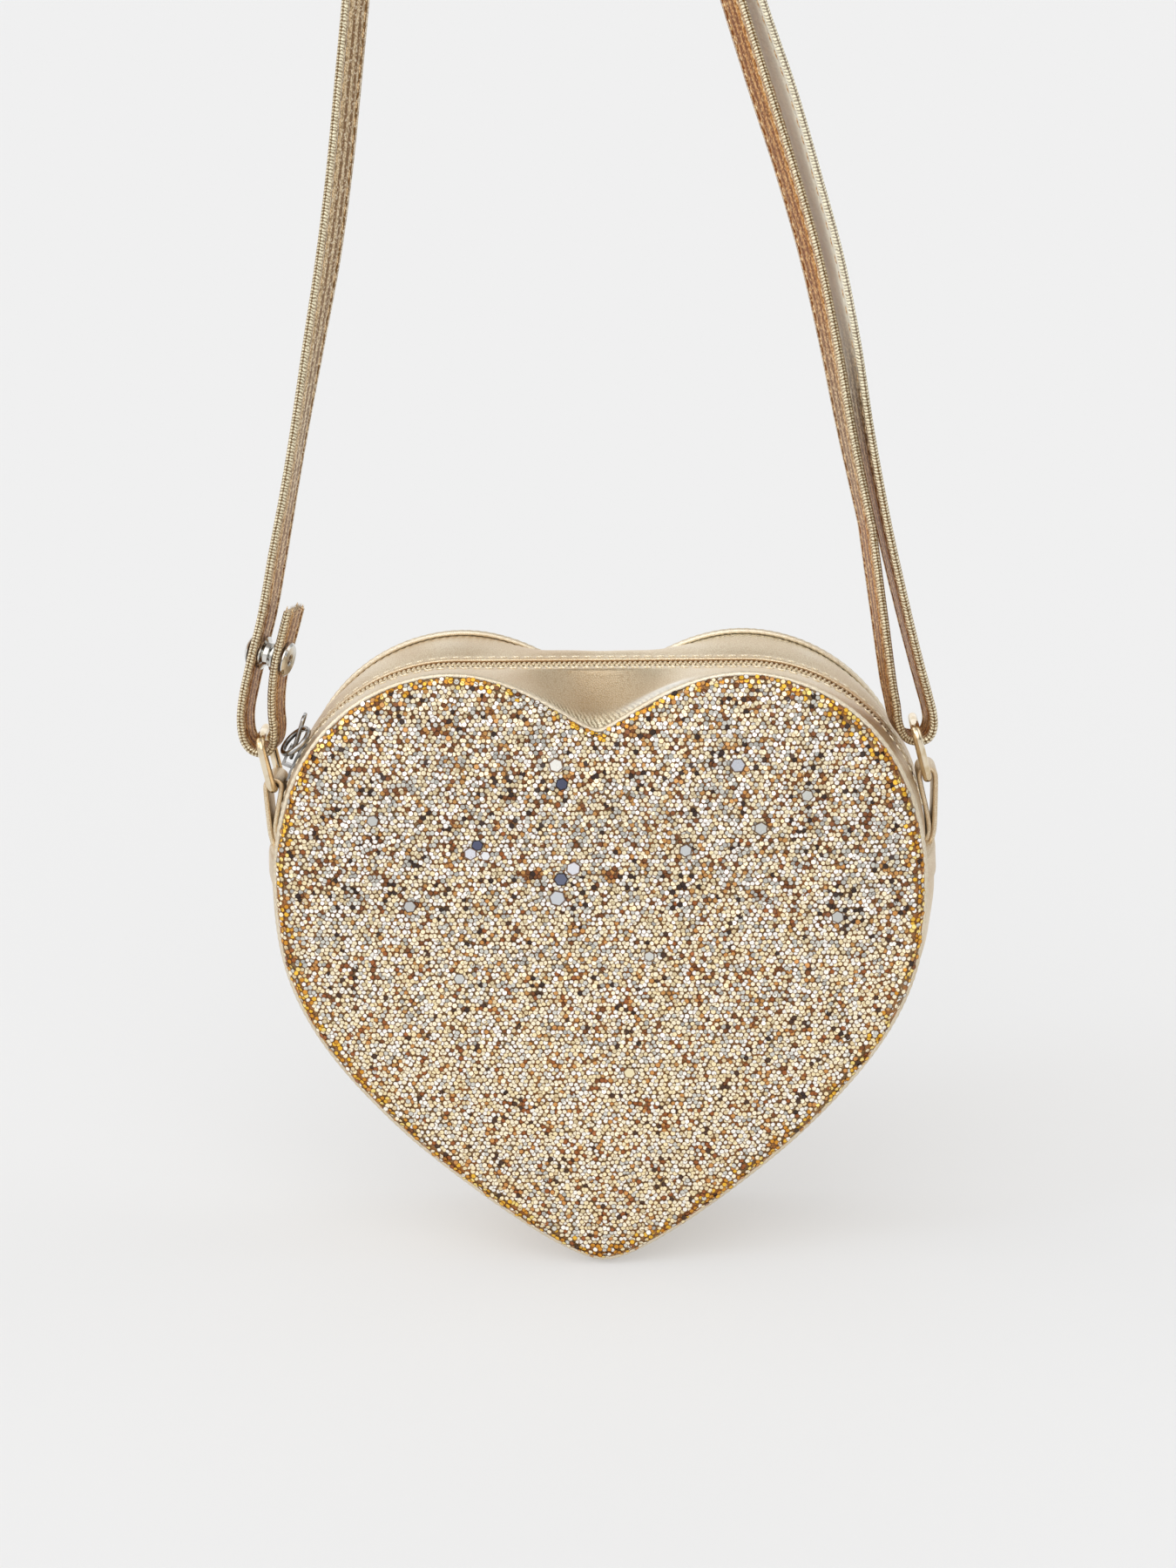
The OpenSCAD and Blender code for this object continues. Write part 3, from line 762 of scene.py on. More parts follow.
@dataclass(frozen=True)
class CoatedFabric:
    """Metallic coated fabric: pale gold film with a fine pebbled grain."""

    name: str
    light: Colour
    deep: Colour
    metallic: float = 0.9
    roughness: float = 0.34
    cell: float = 0.5
    depth: float = 0.05
    rib: float = 0.8
    fold: float = 2.7
    banded: bool = False
    # Painted highlight: the pale colour that a crease mark below 0 gives the film.
    painted_highlight: Colour = srgb(255, 252, 244)
    # Painted light: the cream that the strap's lit strand is painted where warm is below 0.
    cream: Colour = srgb(255, 252, 236)
    # Painted highlight and shade on the ribs, which are also a real bump.
    rib_highlight_and_shade: tuple[Colour, Colour] = (srgb(255, 246, 216), srgb(106, 80, 44))
    # Painted shade: orange-brown where a strand is shaded by the other strand, where warm is
    # above 0.
    painted_copper_shade: tuple[Colour, Colour] = (srgb(244, 170, 84), srgb(146, 68, 16))
    dark_flecks: tuple[Colour, Colour] = (srgb(104, 80, 50), srgb(130, 66, 20))
    pale_flecks: tuple[Colour, Colour] = (srgb(255, 246, 222), srgb(255, 206, 132))
    # Painted highlight along the strap's corners.
    corner: Colour = srgb(250, 240, 218)

    def make(self, effects: Effects) -> bpy.types.Material:
        """Wires the material.

        Args:
            effects: The shared effects.

        Returns:
            The material. It reads attributes of the piece: "crease", painted shade where the film
            is creased and gathered and, below 0, a painted highlight that makes it paler, "bead",
            where it is finely ribbed, with painted highlight and shade on the ribs, "seam", the
            dark line of a fold there, "along" and "across", the place on the piece in
            millimetres, and "warm", painted orange-brown shade where a strap strand is shaded by
            the other and, below 0, painted cream light where it is lit.
        """
        made, w, shader = Finish(self.name, self.metallic, self.roughness).start()
        grain = effects.grain.place(w, Cell=self.cell)
        crease, bead, along, across, painted_shade_and_light, seam = (
            w.mark(name) for name in ("crease", "bead", "along", "across", "painted_shade_and_light", "seam"))
        sway = w.noise(object_place(w), 1 / (0.8 * MM), 1.0)
        slant = w.plus(along, w.times(across, 0.35))
        wave = w.math("SINE", w.plus(w.times(slant, math.tau / self.rib), w.times(sway, 7.0)))
        spot = w.step(wave, -0.5, 0.75)
        if self.banded:
            base = self._bands(w, across, painted_shade_and_light, spot)
        else:
            slow = w.step(grain["Tone"], 0.35, 0.7)
            base = w.mix(w.times(slow, 0.3), self.light, self.deep)
        # Painted light: where warm is below 0 the strap is painted cream.
        pale = w.times(painted_shade_and_light, -1.0, clamp=True)
        # ticks: painted highlight and shade on the ribs, following the same wave as their bump.
        ticks = w.mix(w.plus(w.times(spot, 0.75), seam, clamp=True), *self.rib_highlight_and_shade)
        # Grain pits darken to the deep tone. Creases get painted shade, a crease mark below 0
        # gets a painted highlight, and the strap's lit strand gets painted cream light.
        for share, colour in ((w.times(grain["Pits"], 0.45), self.deep),
                              (w.times(crease, 0.85, clamp=True), self.deep),
                              (w.times(crease, -0.9, clamp=True), self.painted_highlight),
                              (pale, self.cream), (w.times(bead, 0.9), ticks)):
            base = w.mix(share, base, colour)
        if self.banded:
            # Where cream light is painted, the film is also made less metallic.
            w.feed(shader.inputs["Metallic"],
                   w.math("SUBTRACT", self.metallic, w.times(pale, 0.9)))
        w.feed(shader.inputs["Roughness"],
               w.plus(self.roughness - 0.05, w.times(grain["Tone"], 0.12)))
        ribbed = w.plus(bead, 0.35 if self.banded else 0.0)
        height = w.math("SUBTRACT", grain["Height"], w.times(w.times(spot, ribbed), 1.6))
        Finish.dress(w, shader, base, height, self.depth)
        return made

    def _bands(self, w: Wiring, across: Socket, painted_shade_and_light: Socket, spot: Socket) -> Socket:
        """The strap's look: painted shade and highlight of lengthwise folds, slanting ticks, a
        painted highlight along each corner and flecks.

        Args:
            w: The material's wiring.
            across: The place across the strap.
            painted_shade_and_light: Where painted shade turns the film orange-brown.
            spot: Where the slanting ticks are.

        Returns:
            The colour.
        """
        # Painted shade: where warm is above 0, the light and deep tones turn to the orange-brown
        # shade tones.
        light, deep = (w.mix(painted_shade_and_light, cool, hot)
                       for cool, hot in zip((self.light, self.deep), self.painted_copper_shade))
        # Painted shade and highlight: lengthwise streaks of fold shading that the mesh doesn't
        # have.
        fold = w.math("COSINE", w.times(across, math.tau / self.fold))
        base = w.mix(w.times(w.step(fold, -0.6, 0.6), 0.9), deep, light)
        # Painted highlight: a pale line along each corner of the strap's face.
        reach = w.math("ABSOLUTE", across)
        corner = w.times(w.step(reach, 4.0, 4.2),
                         w.math("SUBTRACT", 1.0, w.step(reach, 4.5, 4.7)))
        fleck = w.noise(object_place(w), 1 / (0.75 * MM), 2.0)
        dark, bright = w.step(fleck, 0.5, 0.4), w.step(fleck, 0.55, 0.62)
        # Painted shade darkens the slanting ticks, the corners get their painted highlight, and
        # the flecks take the orange-brown of warm's painted shade.
        for share, colour in ((w.times(spot, 0.3), deep), (w.times(corner, 0.85), self.corner),
                              (w.times(dark, 0.6), w.mix(painted_shade_and_light, *self.dark_flecks)),
                              (w.times(bright, 0.7), w.mix(painted_shade_and_light, *self.pale_flecks))):
            base = w.mix(share, base, colour)
        return base


@dataclass(frozen=True)
class GlitterFlake:
    """Foil flakes: each carries its own tint, with painted shadow darkening its rim."""

    name: str = "glitter_flake"
    metallic: float = 0.45
    roughness: float = 0.24
    # Painted shadow: the darker colour multiplied into each flake's rim.
    rim: Colour = srgb(124, 84, 48)

    def make(self, effects: Effects) -> bpy.types.Material:
        """Wires the material, which reads the flakes' tint and rim attributes."""
        made, w, shader = Finish(self.name, self.metallic, self.roughness).start()
        tint = w.node("ShaderNodeAttribute", attribute_name="tint").outputs["Color"]
        # Painted shadow on the flake's rim, where neighbouring flakes shade it.
        painted_rim_shadow = w.step(w.mark("rim"), 0.74, 0.9)
        wear = effects.wear.place(w, Scratch=0.6, Smudge=1.5)
        base = w.mix(w.times(painted_rim_shadow, 0.95), tint, w.mix(1.0, tint, self.rim, "MULTIPLY"))
        w.feed(shader.inputs["Roughness"], wear["Roughness"])
        Finish.dress(w, shader, base, wear["Height"], 0.004)
        return made


@dataclass(frozen=True)
class GlitterGround:
    """The glued ground under the flakes: light brown with orange patches."""

    name: str = "glitter_ground"
    brown: Colour = srgb(140, 110, 72)
    orange: Colour = srgb(176, 114, 56)

    def make(self, effects: Effects) -> bpy.types.Material:
        """Wires the material."""
        made, w, shader = Finish(self.name, 0.3, 0.5).start()
        patch = w.step(w.noise(object_place(w), 1 / (6 * MM), 3.0), 0.4, 0.66)
        grain = effects.grain.place(w, Cell=0.7, Crease=2.0)
        Finish.dress(w, shader, w.mix(patch, self.brown, self.orange), grain["Height"], 0.15)
        return made


@dataclass(frozen=True)
class PlatedMetal:
    """Plated wire and pressings, with fine scratches and smudges."""

    name: str
    bright: Colour
    dull: Colour
    scratch: float = 1.2

    def make(self, effects: Effects) -> bpy.types.Material:
        """Wires the material."""
        made, w, shader = Finish(self.name, 1.0, 0.2).start()
        wear = effects.wear.place(w, Scratch=self.scratch)
        base = w.mix(w.step(wear["Tone"], 0.35, 0.7), self.bright, self.dull)
        w.feed(shader.inputs["Roughness"], w.times(wear["Roughness"], 0.5))
        Finish.dress(w, shader, base, wear["Height"], 0.006)
        return made


@dataclass(frozen=True)
class WovenCloth:
    """Woven cloth: the zip's tape, the lining and the strap's raw edge."""

    name: str
    light: Colour
    deep: Colour
    thread: float = 0.35
    sheen: float = 0.2

    def make(self, effects: Effects) -> bpy.types.Material:
        """Wires the material."""
        made, w, shader = Finish(self.name, 0.0, 0.7).start()
        weave = effects.weave.place(w, Thread=self.thread)
        base = w.mix(w.times(weave["Height"], 0.6), self.deep, self.light)
        base = w.mix(w.times(weave["Tone"], 0.25), base, self.deep)
        shader.inputs["Sheen Weight"].default_value = self.sheen
        Finish.dress(w, shader, base, weave["Height"], 0.08)
        return made


@dataclass(frozen=True)
class SewingThread:
    """Twisted thread, sewn or wound into the zip's coils."""

    name: str
    light: Colour
    deep: Colour
    metallic: float = 0.2

    def make(self, effects: Effects) -> bpy.types.Material:
        """Wires the material."""
        made, w, shader = Finish(self.name, self.metallic, 0.5).start()
        turn = w.node("ShaderNodeTexWave", {"Vector": object_place(w),
                                            "Scale": 1 / (1.4 * MM)},
                      bands_direction="DIAGONAL").outputs[1]
        Finish.dress(w, shader, w.mix(turn, self.light, self.deep), turn, 0.04)
        return made


@dataclass(frozen=True)
class PaperBoard:
    """Grey stiffening board."""

    name: str = "stiffening_board"
    light: Colour = srgb(150, 144, 134)
    deep: Colour = srgb(112, 106, 98)

    def make(self, effects: Effects) -> bpy.types.Material:
        """Wires the material."""
        made, w, shader = Finish(self.name, 0.0, 0.85).start()
        fibre = w.noise(object_place(w), 1 / (0.8 * MM), 4.0, 0.7)
        Finish.dress(w, shader, w.mix(fibre, self.light, self.deep), fibre, 0.05)
        return made


@dataclass(frozen=True)
class StudioGround:
    """The pale floor."""

    name: str = "studio_floor"
    tone: float = 0.8
    lift: float = 0.4
    shown: float = 0.8714

    def make(self) -> bpy.types.Material:
        """Wires the material: the eye and gloss see part of its tone as its own light."""
        made, w, shader = Finish(self.name, 0.0, 1.0).start()
        shader.inputs["Specular IOR Level"].default_value = 0.0
        rays = w.node("ShaderNodeLightPath").outputs
        seen = w.plus(w.plus(rays["Is Camera Ray"], rays["Is Glossy Ray"]),
                      rays["Is Transmission Ray"], clamp=True)
        lit = (1 - self.lift) * self.tone
        w.feed(shader.inputs["Base Color"], w.mix(seen, (self.tone,) * 3, (lit,) * 3))
        shader.inputs["Emission Color"].default_value = (self.shown,) * 3 + (1.0,)
        w.feed(shader.inputs["Emission Strength"], w.times(seen, self.lift))
        return made


class Finishes:
    """Every material of the bag and its slot, by the piece that it is for."""

    def __init__(self) -> None:
        """Makes the effects, then the materials."""
        effects = Effects()
        kinds = {
            "gusset": (Slot.CHAMPAGNE, CoatedFabric(
                "champagne_coat", srgb(236, 222, 194), srgb(178, 138, 86), cell=0.55)),
            "piping": (Slot.PIPING, CoatedFabric(
                "piping_coat", srgb(238, 228, 208), srgb(200, 176, 136), cell=0.4)),
            "strap": (Slot.STRAP, CoatedFabric(
                "strap_coat", srgb(255, 236, 196), srgb(140, 108, 68), cell=0.45,
                banded=True)),
            "flake": (Slot.GLITTER, GlitterFlake()),
            "ground": (Slot.GLITTER, GlitterGround()),
            "thread": (Slot.CHAMPAGNE, SewingThread(
                "gold_thread", srgb(255, 248, 230), srgb(226, 206, 166))),
            "strap_thread": (Slot.STRAP, SewingThread(
                "tan_thread", srgb(246, 222, 178), srgb(196, 150, 96))),
            "teeth": (Slot.TEETH, SewingThread(
                "coil_teeth", srgb(250, 240, 214), srgb(206, 178, 130), metallic=0.4)),
            "tape": (Slot.TAPE, WovenCloth(
                "zip_tape_cloth", srgb(232, 194, 130), srgb(176, 124, 64))),
            "lining": (Slot.LINING, WovenCloth(
                "lining_cloth", srgb(168, 142, 110), srgb(122, 98, 72), thread=0.5)),
            "raw_edge": (Slot.STRAP, WovenCloth(
                "raw_backing", srgb(236, 226, 206), srgb(200, 180, 146), thread=0.25)),
            "board": (Slot.BOARD, PaperBoard()),
            "gunmetal": (Slot.GUNMETAL, PlatedMetal(
                "gunmetal", srgb(176, 174, 172), srgb(112, 110, 108))),
            "ring": (Slot.RING, PlatedMetal(
                "pale_gold_plate", srgb(240, 226, 200), srgb(206, 180, 136))),
            "stud": (Slot.RING, PlatedMetal(
                "bright_nickel", srgb(224, 222, 216), srgb(180, 178, 172))),
        }
        self.slots = {name: slot for name, (slot, _) in kinds.items()}
        self.materials = {name: kind.make(effects) for name, (_, kind) in kinds.items()}


# Geometry node trees


class Repeater:
    """A geometry node tree with named inputs."""

    def __init__(self, name: str, takes: dict[str, float]) -> None:
        """Makes the tree and its inputs.

        Args:
            name: The tree's name.
            takes: Its number inputs and their usual values. It also takes a material.
        """
        self.tree = bpy.data.node_groups.new(name, "GeometryNodeTree")
        face = self.tree.interface
        face.new_socket("Geometry", in_out="INPUT", socket_type="NodeSocketGeometry")
        self.ids: dict[str, str] = {}
        for key, value in takes.items():
            made = face.new_socket(key, in_out="INPUT", socket_type="NodeSocketFloat")
            made.default_value = value
            self.ids[key] = made.identifier
        made = face.new_socket("Material", in_out="INPUT", socket_type="NodeSocketMaterial")
        self.ids["Material"] = made.identifier
        face.new_socket("Geometry", in_out="OUTPUT", socket_type="NodeSocketGeometry")
        self.wiring = Wiring(self.tree)
        self.start = self.wiring.node("NodeGroupInput").outputs
        self.end = self.wiring.node("NodeGroupOutput")

    def named(self, name: str, kind: str = "FLOAT_VECTOR") -> Socket:
        """What the host carries at each point under a name."""
        return self.wiring.out("GeometryNodeInputNamedAttribute", {"Name": name},
                               data_type=kind)

    def finish(self, points: Socket, shape: Socket, turn: Socket, size: Sequence[Socket],
               smooth: bool) -> None:
        """Ends the tree: lays the copies, makes them real and gives them their material.

        Args:
            points: Where the copies go.
            shape: The shape of unit size.
            turn: How each copy is turned.
            size: Each copy's three sizes.
            smooth: Whether they are shaded smooth.
        """
        w = self.wiring
        copies = w.out("GeometryNodeInstanceOnPoints", {
            "Points": points, "Instance": shape, "Rotation": turn,
            "Scale": w.out("ShaderNodeCombineXYZ", dict(enumerate(size)))})
        real = w.out("GeometryNodeRealizeInstances", {0: copies})
        shade = w.out("GeometryNodeSetShadeSmooth", {"Geometry": real,
                                                     "Shade Smooth": smooth})
        w.feed(self.end.inputs[0], w.out("GeometryNodeSetMaterial", {
            "Geometry": shade, "Material": self.start["Material"]}))

    def apply(self, shop: Workshop, host: bpy.types.Object, **values: object
              ) -> bpy.types.Object:
        """Runs the tree on an object and bakes the result.

        Args:
            shop: The workshop.
            host: The object that carries the copies.
            values: The tree's inputs by name.

        Returns:
            The baked object.
        """
        made = host.modifiers.new("copies", "NODES")
        made.node_group = self.tree
        for key, value in values.items():
            made[self.ids[key]] = value
        return shop.bake(host)


class ThreadRow(Repeater):
    """Rounded threads or teeth at an even pitch along a line."""

    def __init__(self) -> None:
        """Builds the tree."""
        super().__init__("thread_row", {"Pitch": 0.003, "Length": 0.002, "Width": 0.0005,
                                        "Height": 0.0004, "Yaw": 0.0})
        w, start = self.wiring, self.start
        curve = w.out("GeometryNodeMeshToCurve", {"Mesh": start["Geometry"]})
        even = w.out("GeometryNodeResampleCurve", {"Curve": curve, "Length": start["Pitch"]},
                     mode="LENGTH")
        ball = w.out("GeometryNodeMeshUVSphere", {"Segments": 8, "Rings": 5, "Radius": 0.5})
        along = w.out("FunctionNodeAlignRotationToVector",
                      {"Vector": w.out("GeometryNodeInputTangent")}, axis="X")
        stand = w.out("FunctionNodeAlignRotationToVector",
                      {"Rotation": along, "Vector": self.named("up")}, axis="Z",
                      pivot_axis="X")
        yaw = w.out("FunctionNodeAxisAngleToRotation", {"Axis": (0.0, 0.0, 1.0),
                                                        "Angle": start["Yaw"]})
        turned = w.out("FunctionNodeRotateRotation", {"Rotation": stand, "Rotate By": yaw},
                       rotation_space="LOCAL")
        self.finish(even, ball, turned, [start[key] for key in ("Length", "Width", "Height")],
                    smooth=True)

    def lay(self, line: bpy.types.Object, shop: Workshop, finish: str, pitch: float,
            size: tuple[float, float, float], yaw: float = 0.0) -> bpy.types.Object:
        """Lays threads along a line.

        Args:
            line: The line.
            shop: The workshop.
            finish: Name of the threads' finish.
            pitch: Distance from one to the next, in millimetres.
            size: Length, width and height of each, in millimetres.
            yaw: How far each is turned aside.

        Returns:
            The row.
        """
        sizes = dict(zip(("Length", "Width", "Height"), (value * MM for value in size)))
        return self.apply(shop, line, Pitch=pitch * MM, Yaw=yaw,
                          Material=shop.finishes.materials[finish], **sizes)


class FlakeScatter(Repeater):
    """A six sided flake on every point of its host, strayed, tilted and tinted by place."""

    LOWER = ((0.0, srgb(78, 54, 38)), (0.012, srgb(158, 92, 44)), (0.07, srgb(208, 148, 82)),
             (0.12, srgb(228, 206, 162)), (0.18, srgb(252, 234, 188)),
             (0.4, srgb(255, 243, 212)), (0.72, srgb(255, 252, 242)),
             (0.94, srgb(214, 212, 202)))
    UPPER = ((0.0, srgb(58, 42, 34)), (0.03, srgb(128, 78, 40)), (0.1, srgb(198, 146, 84)),
             (0.16, srgb(222, 204, 164)), (0.26, srgb(250, 236, 200)),
             (0.54, srgb(255, 252, 246)), (0.78, srgb(212, 210, 200)),
             (0.9, srgb(184, 182, 174)))
    EDGE = ((0.0, srgb(212, 146, 44)), (0.35, srgb(240, 186, 58)), (0.75, srgb(250, 222, 130)))

    def __init__(self) -> None:
        """Builds the tree."""
        super().__init__("flake_scatter", {
            "Radius": 0.0006, "Depth": 0.0004, "Tilt": 0.2, "Lift": 0.0003, "Rise": 0.0001,
            "Stray": 0.0001, "Low": -0.5, "High": -0.4})
        w, start = self.wiring, self.start
        tinted = w.out("GeometryNodeStoreNamedAttribute", {
            "Geometry": start["Geometry"], "Name": "tint", "Value": self._tint()},
            data_type="FLOAT_COLOR", domain="POINT")
        facing = self.named("facing")
        rise = w.times(self._random(-1.0, 1.0, 23), start["Rise"])
        above = w.out("ShaderNodeVectorMath", {
            0: facing, "Scale": w.plus(start["Lift"], rise)}, operation="SCALE")
        aside = w.out("ShaderNodeCombineXYZ", {
            axis: w.times(self._random(-1.0, 1.0, seed), start["Stray"])
            for axis, seed in ((0, 51), (2, 57))})
        offset = w.out("ShaderNodeVectorMath", {0: above, 1: aside}, operation="ADD")
        strewn = w.out("GeometryNodeSetPosition", {"Geometry": tinted, "Offset": offset})
        turned = w.out("FunctionNodeAlignRotationToVector", {"Vector": facing}, axis="Z")
        across = w.times(start["Radius"], self._random(0.88, 1.16, 11))
        self.finish(strewn, self._flake(), self._turn(turned),
                    (across, across, start["Depth"]), smooth=False)

    def _flake(self) -> Socket:
        """One flake of unit size, marked with how near its rim each point is."""
        w = self.wiring
        flake = w.out("GeometryNodeMeshCone", {
            "Vertices": 6, "Radius Top": 0.0, "Radius Bottom": 1.0, "Depth": 1.0},
            fill_type="TRIANGLE_FAN")
        over = w.out("GeometryNodeTransform", {"Geometry": flake,
                                               "Rotation": (math.pi, 0.0, 0.0)})
        x, y, _ = w.node("ShaderNodeSeparateXYZ",
                         {0: w.out("GeometryNodeInputPosition")}).outputs
        # The centre is shifted a little, so that the rim's painted shadow is wider on one side,
        # as a crescent.
        off_centre = w.math("POWER", w.math("SUBTRACT", x, 0.1), 2.0)
        radial = w.math("SQRT", w.plus(off_centre, w.math("POWER", y, 2.0)))
        return w.out("GeometryNodeStoreNamedAttribute", {
            "Geometry": over, "Name": "rim", "Value": radial}, data_type="FLOAT",
            domain="POINT")

    def _random(self, low: float, high: float, seed: int) -> Socket:
        """A random number for each flake."""
        return self.wiring.node("FunctionNodeRandomValue", {2: low, 3: high, "Seed": seed},
                                data_type="FLOAT").outputs[1]

    def _turn(self, facing: Socket) -> Socket:
        """The flake's own turn: the surface's facing, a random spin and a random tilt."""
        w = self.wiring
        lean = w.out("ShaderNodeCombineXYZ", {
            0: w.times(self._random(-1.0, 1.0, 31), self.start["Tilt"]),
            1: w.times(self._random(-1.0, 1.0, 37), self.start["Tilt"]),
            2: self._random(0.0, math.pi, 41)})
        return w.out("FunctionNodeRotateRotation", {
            "Rotation": facing, "Rotate By": w.out("FunctionNodeEulerToRotation", {0: lean})},
            rotation_space="LOCAL")

    def _tint(self) -> Socket:
        """The flake's tint: cream below, more silver and dark above, yellow at the edge."""
        w = self.wiring
        place = w.out("GeometryNodeInputPosition")
        height = w.node("ShaderNodeSeparateXYZ", {0: place}).outputs[2]
        patch = w.math("SUBTRACT", w.noise(place, 1 / (9 * MM), 2.0), 0.5)
        drift = w.math("SUBTRACT", w.noise(place, 1 / (26 * MM), 1.0), 0.5)
        pick = w.plus(self._random(0.0, 1.0, 3), w.times(patch, 0.55), clamp=True)
        upness = w.out("ShaderNodeMapRange", {
            "Value": height, "From Min": self.start["Low"], "From Max": self.start["High"]})
        share = w.plus(upness, w.times(drift, 1.2), clamp=True)
        above = w.math("LESS_THAN", self._random(0.0, 1.0, 5), share)
        main = w.mix(above, w.palette(pick, self.LOWER), w.palette(pick, self.UPPER))
        yellow = w.math("LESS_THAN", self._random(0.0, 1.0, 9),
                        w.times(self.named("edge", "FLOAT"), 0.4))
        return w.mix(yellow, main, w.palette(self._random(0.0, 1.0, 13), self.EDGE))


# The bag's sub-assemblies


@dataclass
class GlitterPanel:
    """The front panel: a domed heart of glitter cloth over its board."""

    shop: Workshop
    outline: HeartOutline
    back_y: float = 24.95
    edge_y: float = 25.7
    crown: float = 2.6
    around: int = 420
    rim_step: float = 0.42
    face_from: float = 0.978
    flaked_to: float = 0.98
    edge_zone: float = 0.955
    edge_zone_width: float = 0.03
    flake_pitch: float = 1.2
    flake_radius: float = 0.72
    flake_depth: float = 0.3
    flake_tilt: float = 0.23
    flake_lift: float = 0.3
    flake_rise: float = 0.14
    flake_stray: float = 0.3
    tint_low_z: float = -112.0
    tint_high_z: float = -34.0
    edge_run: float = 470.0
    unevenness: float = 0.28
    large_lift: float = 0.62
    large_depth: float = 0.7
    large_spin: float = 0.4
    large_lean: float = 0.1
    large_flakes: tuple = (
        (-9.6, -51.4, 1.9, (104, 108, 128)), (-6.4, -48.6, 2.0, (226, 226, 232)),
        (-10.6, -56.4, 2.3, (206, 208, 212)), (-30.6, -42.4, 1.6, (86, 90, 116)),
        (-32.4, -44.6, 1.8, (222, 222, 230)), (-28.6, -45.2, 1.4, (236, 236, 238)),
        (-9.0, -26.6, 1.7, (78, 82, 104)), (-10.4, -21.8, 2.0, (242, 240, 232)),
        (35.2, -22.0, 2.1, (196, 198, 206)), (41.0, -38.4, 1.9, (200, 200, 196)),
        (7.2, -103.6, 1.7, (240, 226, 186)), (-57.0, -36.0, 1.7, (198, 198, 194)),
        (60.4, -62.0, 1.8, (194, 194, 190)), (-36.0, -78.0, 1.6, (206, 206, 202)),
        (22.0, -44.0, 1.8, (202, 204, 204)), (52.6, -30.0, 1.7, (206, 206, 200)),
        (-48.2, -58.6, 1.8, (192, 192, 190)), (12.6, -72.0, 1.5, (212, 212, 206)),
    )

    def profile(self) -> np.ndarray:
        """Steps from the seam over the rounded edge to the middle.

        Returns:
            Rows of the share of the outline and the distance out from the seam plane.
        """
        rim = self.edge_y - self.back_y
        edge = [(0.986, -0.3), (0.996, 0.0), (1.002, 0.25), (1.003, 0.5), (0.999, rim),
                (0.991, rim + 0.24), (self.face_from, rim + self.rim_step)]
        inner = [(k, rim + self.rim_step + (self.crown - self.rim_step)
                  * (1 - (k / self.face_from) ** 3.2)) for k in np.linspace(0.955, 0.02, 46)]
        return np.array(edge + inner)

    def surface(self) -> np.ndarray:
        """Points of the panel by step and place along the outline."""
        rows = self.outline.shrunk(self.around, self.profile()[:, 0])
        out = np.broadcast_to(self.profile()[:, 1][:, None], rows.shape[:2])
        calm = np.clip(out / 1.2, 0, 1)
        x, z = rows[..., 0], rows[..., 1]
        return upright(rows, -(self.back_y + (out + self.unevenness * calm
                                              * self.humps(x, z))))

    @staticmethod
    def humps(x: np.ndarray, z: np.ndarray) -> np.ndarray:
        """The unevenness of the padding, in wide humps with smaller ones on them."""
        return ripple(x, z, 34, 3) + 0.4 * ripple(x, z, 13, 5)

    def build(self) -> None:
        """Makes the ground and the flakes."""
        points = self.surface()
        verts, faces = dome(points, np.array([0, -self.back_y + 0.3,
                                              self.outline.middle[1]]))
        panel = self.shop.piece("front_panel_ground", verts, [f[::-1] for f in faces])
        self.shop.hand_over(panel, "root", "ground", ("front_panel",))
        low, high = (float(self.shop.bag.place(np.array([0, 0, z]))[2])
                     for z in (self.tint_low_z, self.tint_high_z))
        scatter = FlakeScatter()
        spots, facing, edge = self.flake_places()
        for side in Side:
            kept = spots[:, 0] * side.value >= 0
            host = self.shop.piece(f"flakes_{side.name.lower()}", spots[kept], [], attributes={
                "edge": edge[kept], "facing": facing[kept]})
            made = scatter.apply(
                self.shop, host, Radius=self.flake_radius * MM,
                Depth=self.flake_depth * MM, Tilt=self.flake_tilt, Lift=self.flake_lift * MM,
                Rise=self.flake_rise * MM, Stray=self.flake_stray * MM, Low=low, High=high,
                Material=self.shop.finishes.materials["flake"])
            self.shop.hand_over(made, "root", "flake")
        self._large(points)

    def flake_places(self) -> tuple[np.ndarray, np.ndarray, np.ndarray]:
        """Close packed places for the flakes over the face, and rows of them on its edge.

        Returns:
            The points, the way each faces, and how near each is to the edge, from 0 to 1.
        """
        pitch = self.flake_pitch
        row = pitch * math.sin(math.pi / 3)
        x, z = np.meshgrid(np.arange(-90, 90, pitch), np.arange(-160, 10, row))
        x = x + pitch / 2 * (np.arange(len(x)) % 2)[:, None]
        x, z = x.ravel(), z.ravel()
        share = self.share_out(x, z)
        inside = share < self.flaked_to
        x, z = x[inside], z[inside]
        small = 0.05
        level = self.level(x, z)
        slope_x = (self.level(x + small, z) - level) / small
        slope_z = (self.level(x, z + small) - level) / small
        points = [np.stack([x, -(self.back_y + level), z], -1)]
        facing = [np.stack([-slope_x, -np.ones_like(x), -slope_z], -1)]
        near = [np.clip((share[inside] - self.edge_zone) / self.edge_zone_width, 0, 1)]
        rim = self.edge_y - self.back_y
        count = int(self.edge_run / pitch)
        middle = np.array(self.outline.middle)
        edge_rows = ((0.989, rim + 0.24, 0.5), (0.997, rim - 0.1, 1.1))
        for number, (scale, out, lean) in enumerate(edge_rows):
            u = self.outline.even(-4, 4, count + 1)[:-1] + number * 4 / count
            ring = middle + scale * (self.outline.point(u) - middle)
            points.append(upright(ring, -(self.back_y + out)))
            facing.append(upright(lean * self.outline.normal(u), -1.0))
            near.append(np.full(count, 1.2))
        facing = np.concatenate(facing)
        return (np.concatenate(points),
                facing / np.linalg.norm(facing, axis=1, keepdims=True),
                np.concatenate(near))

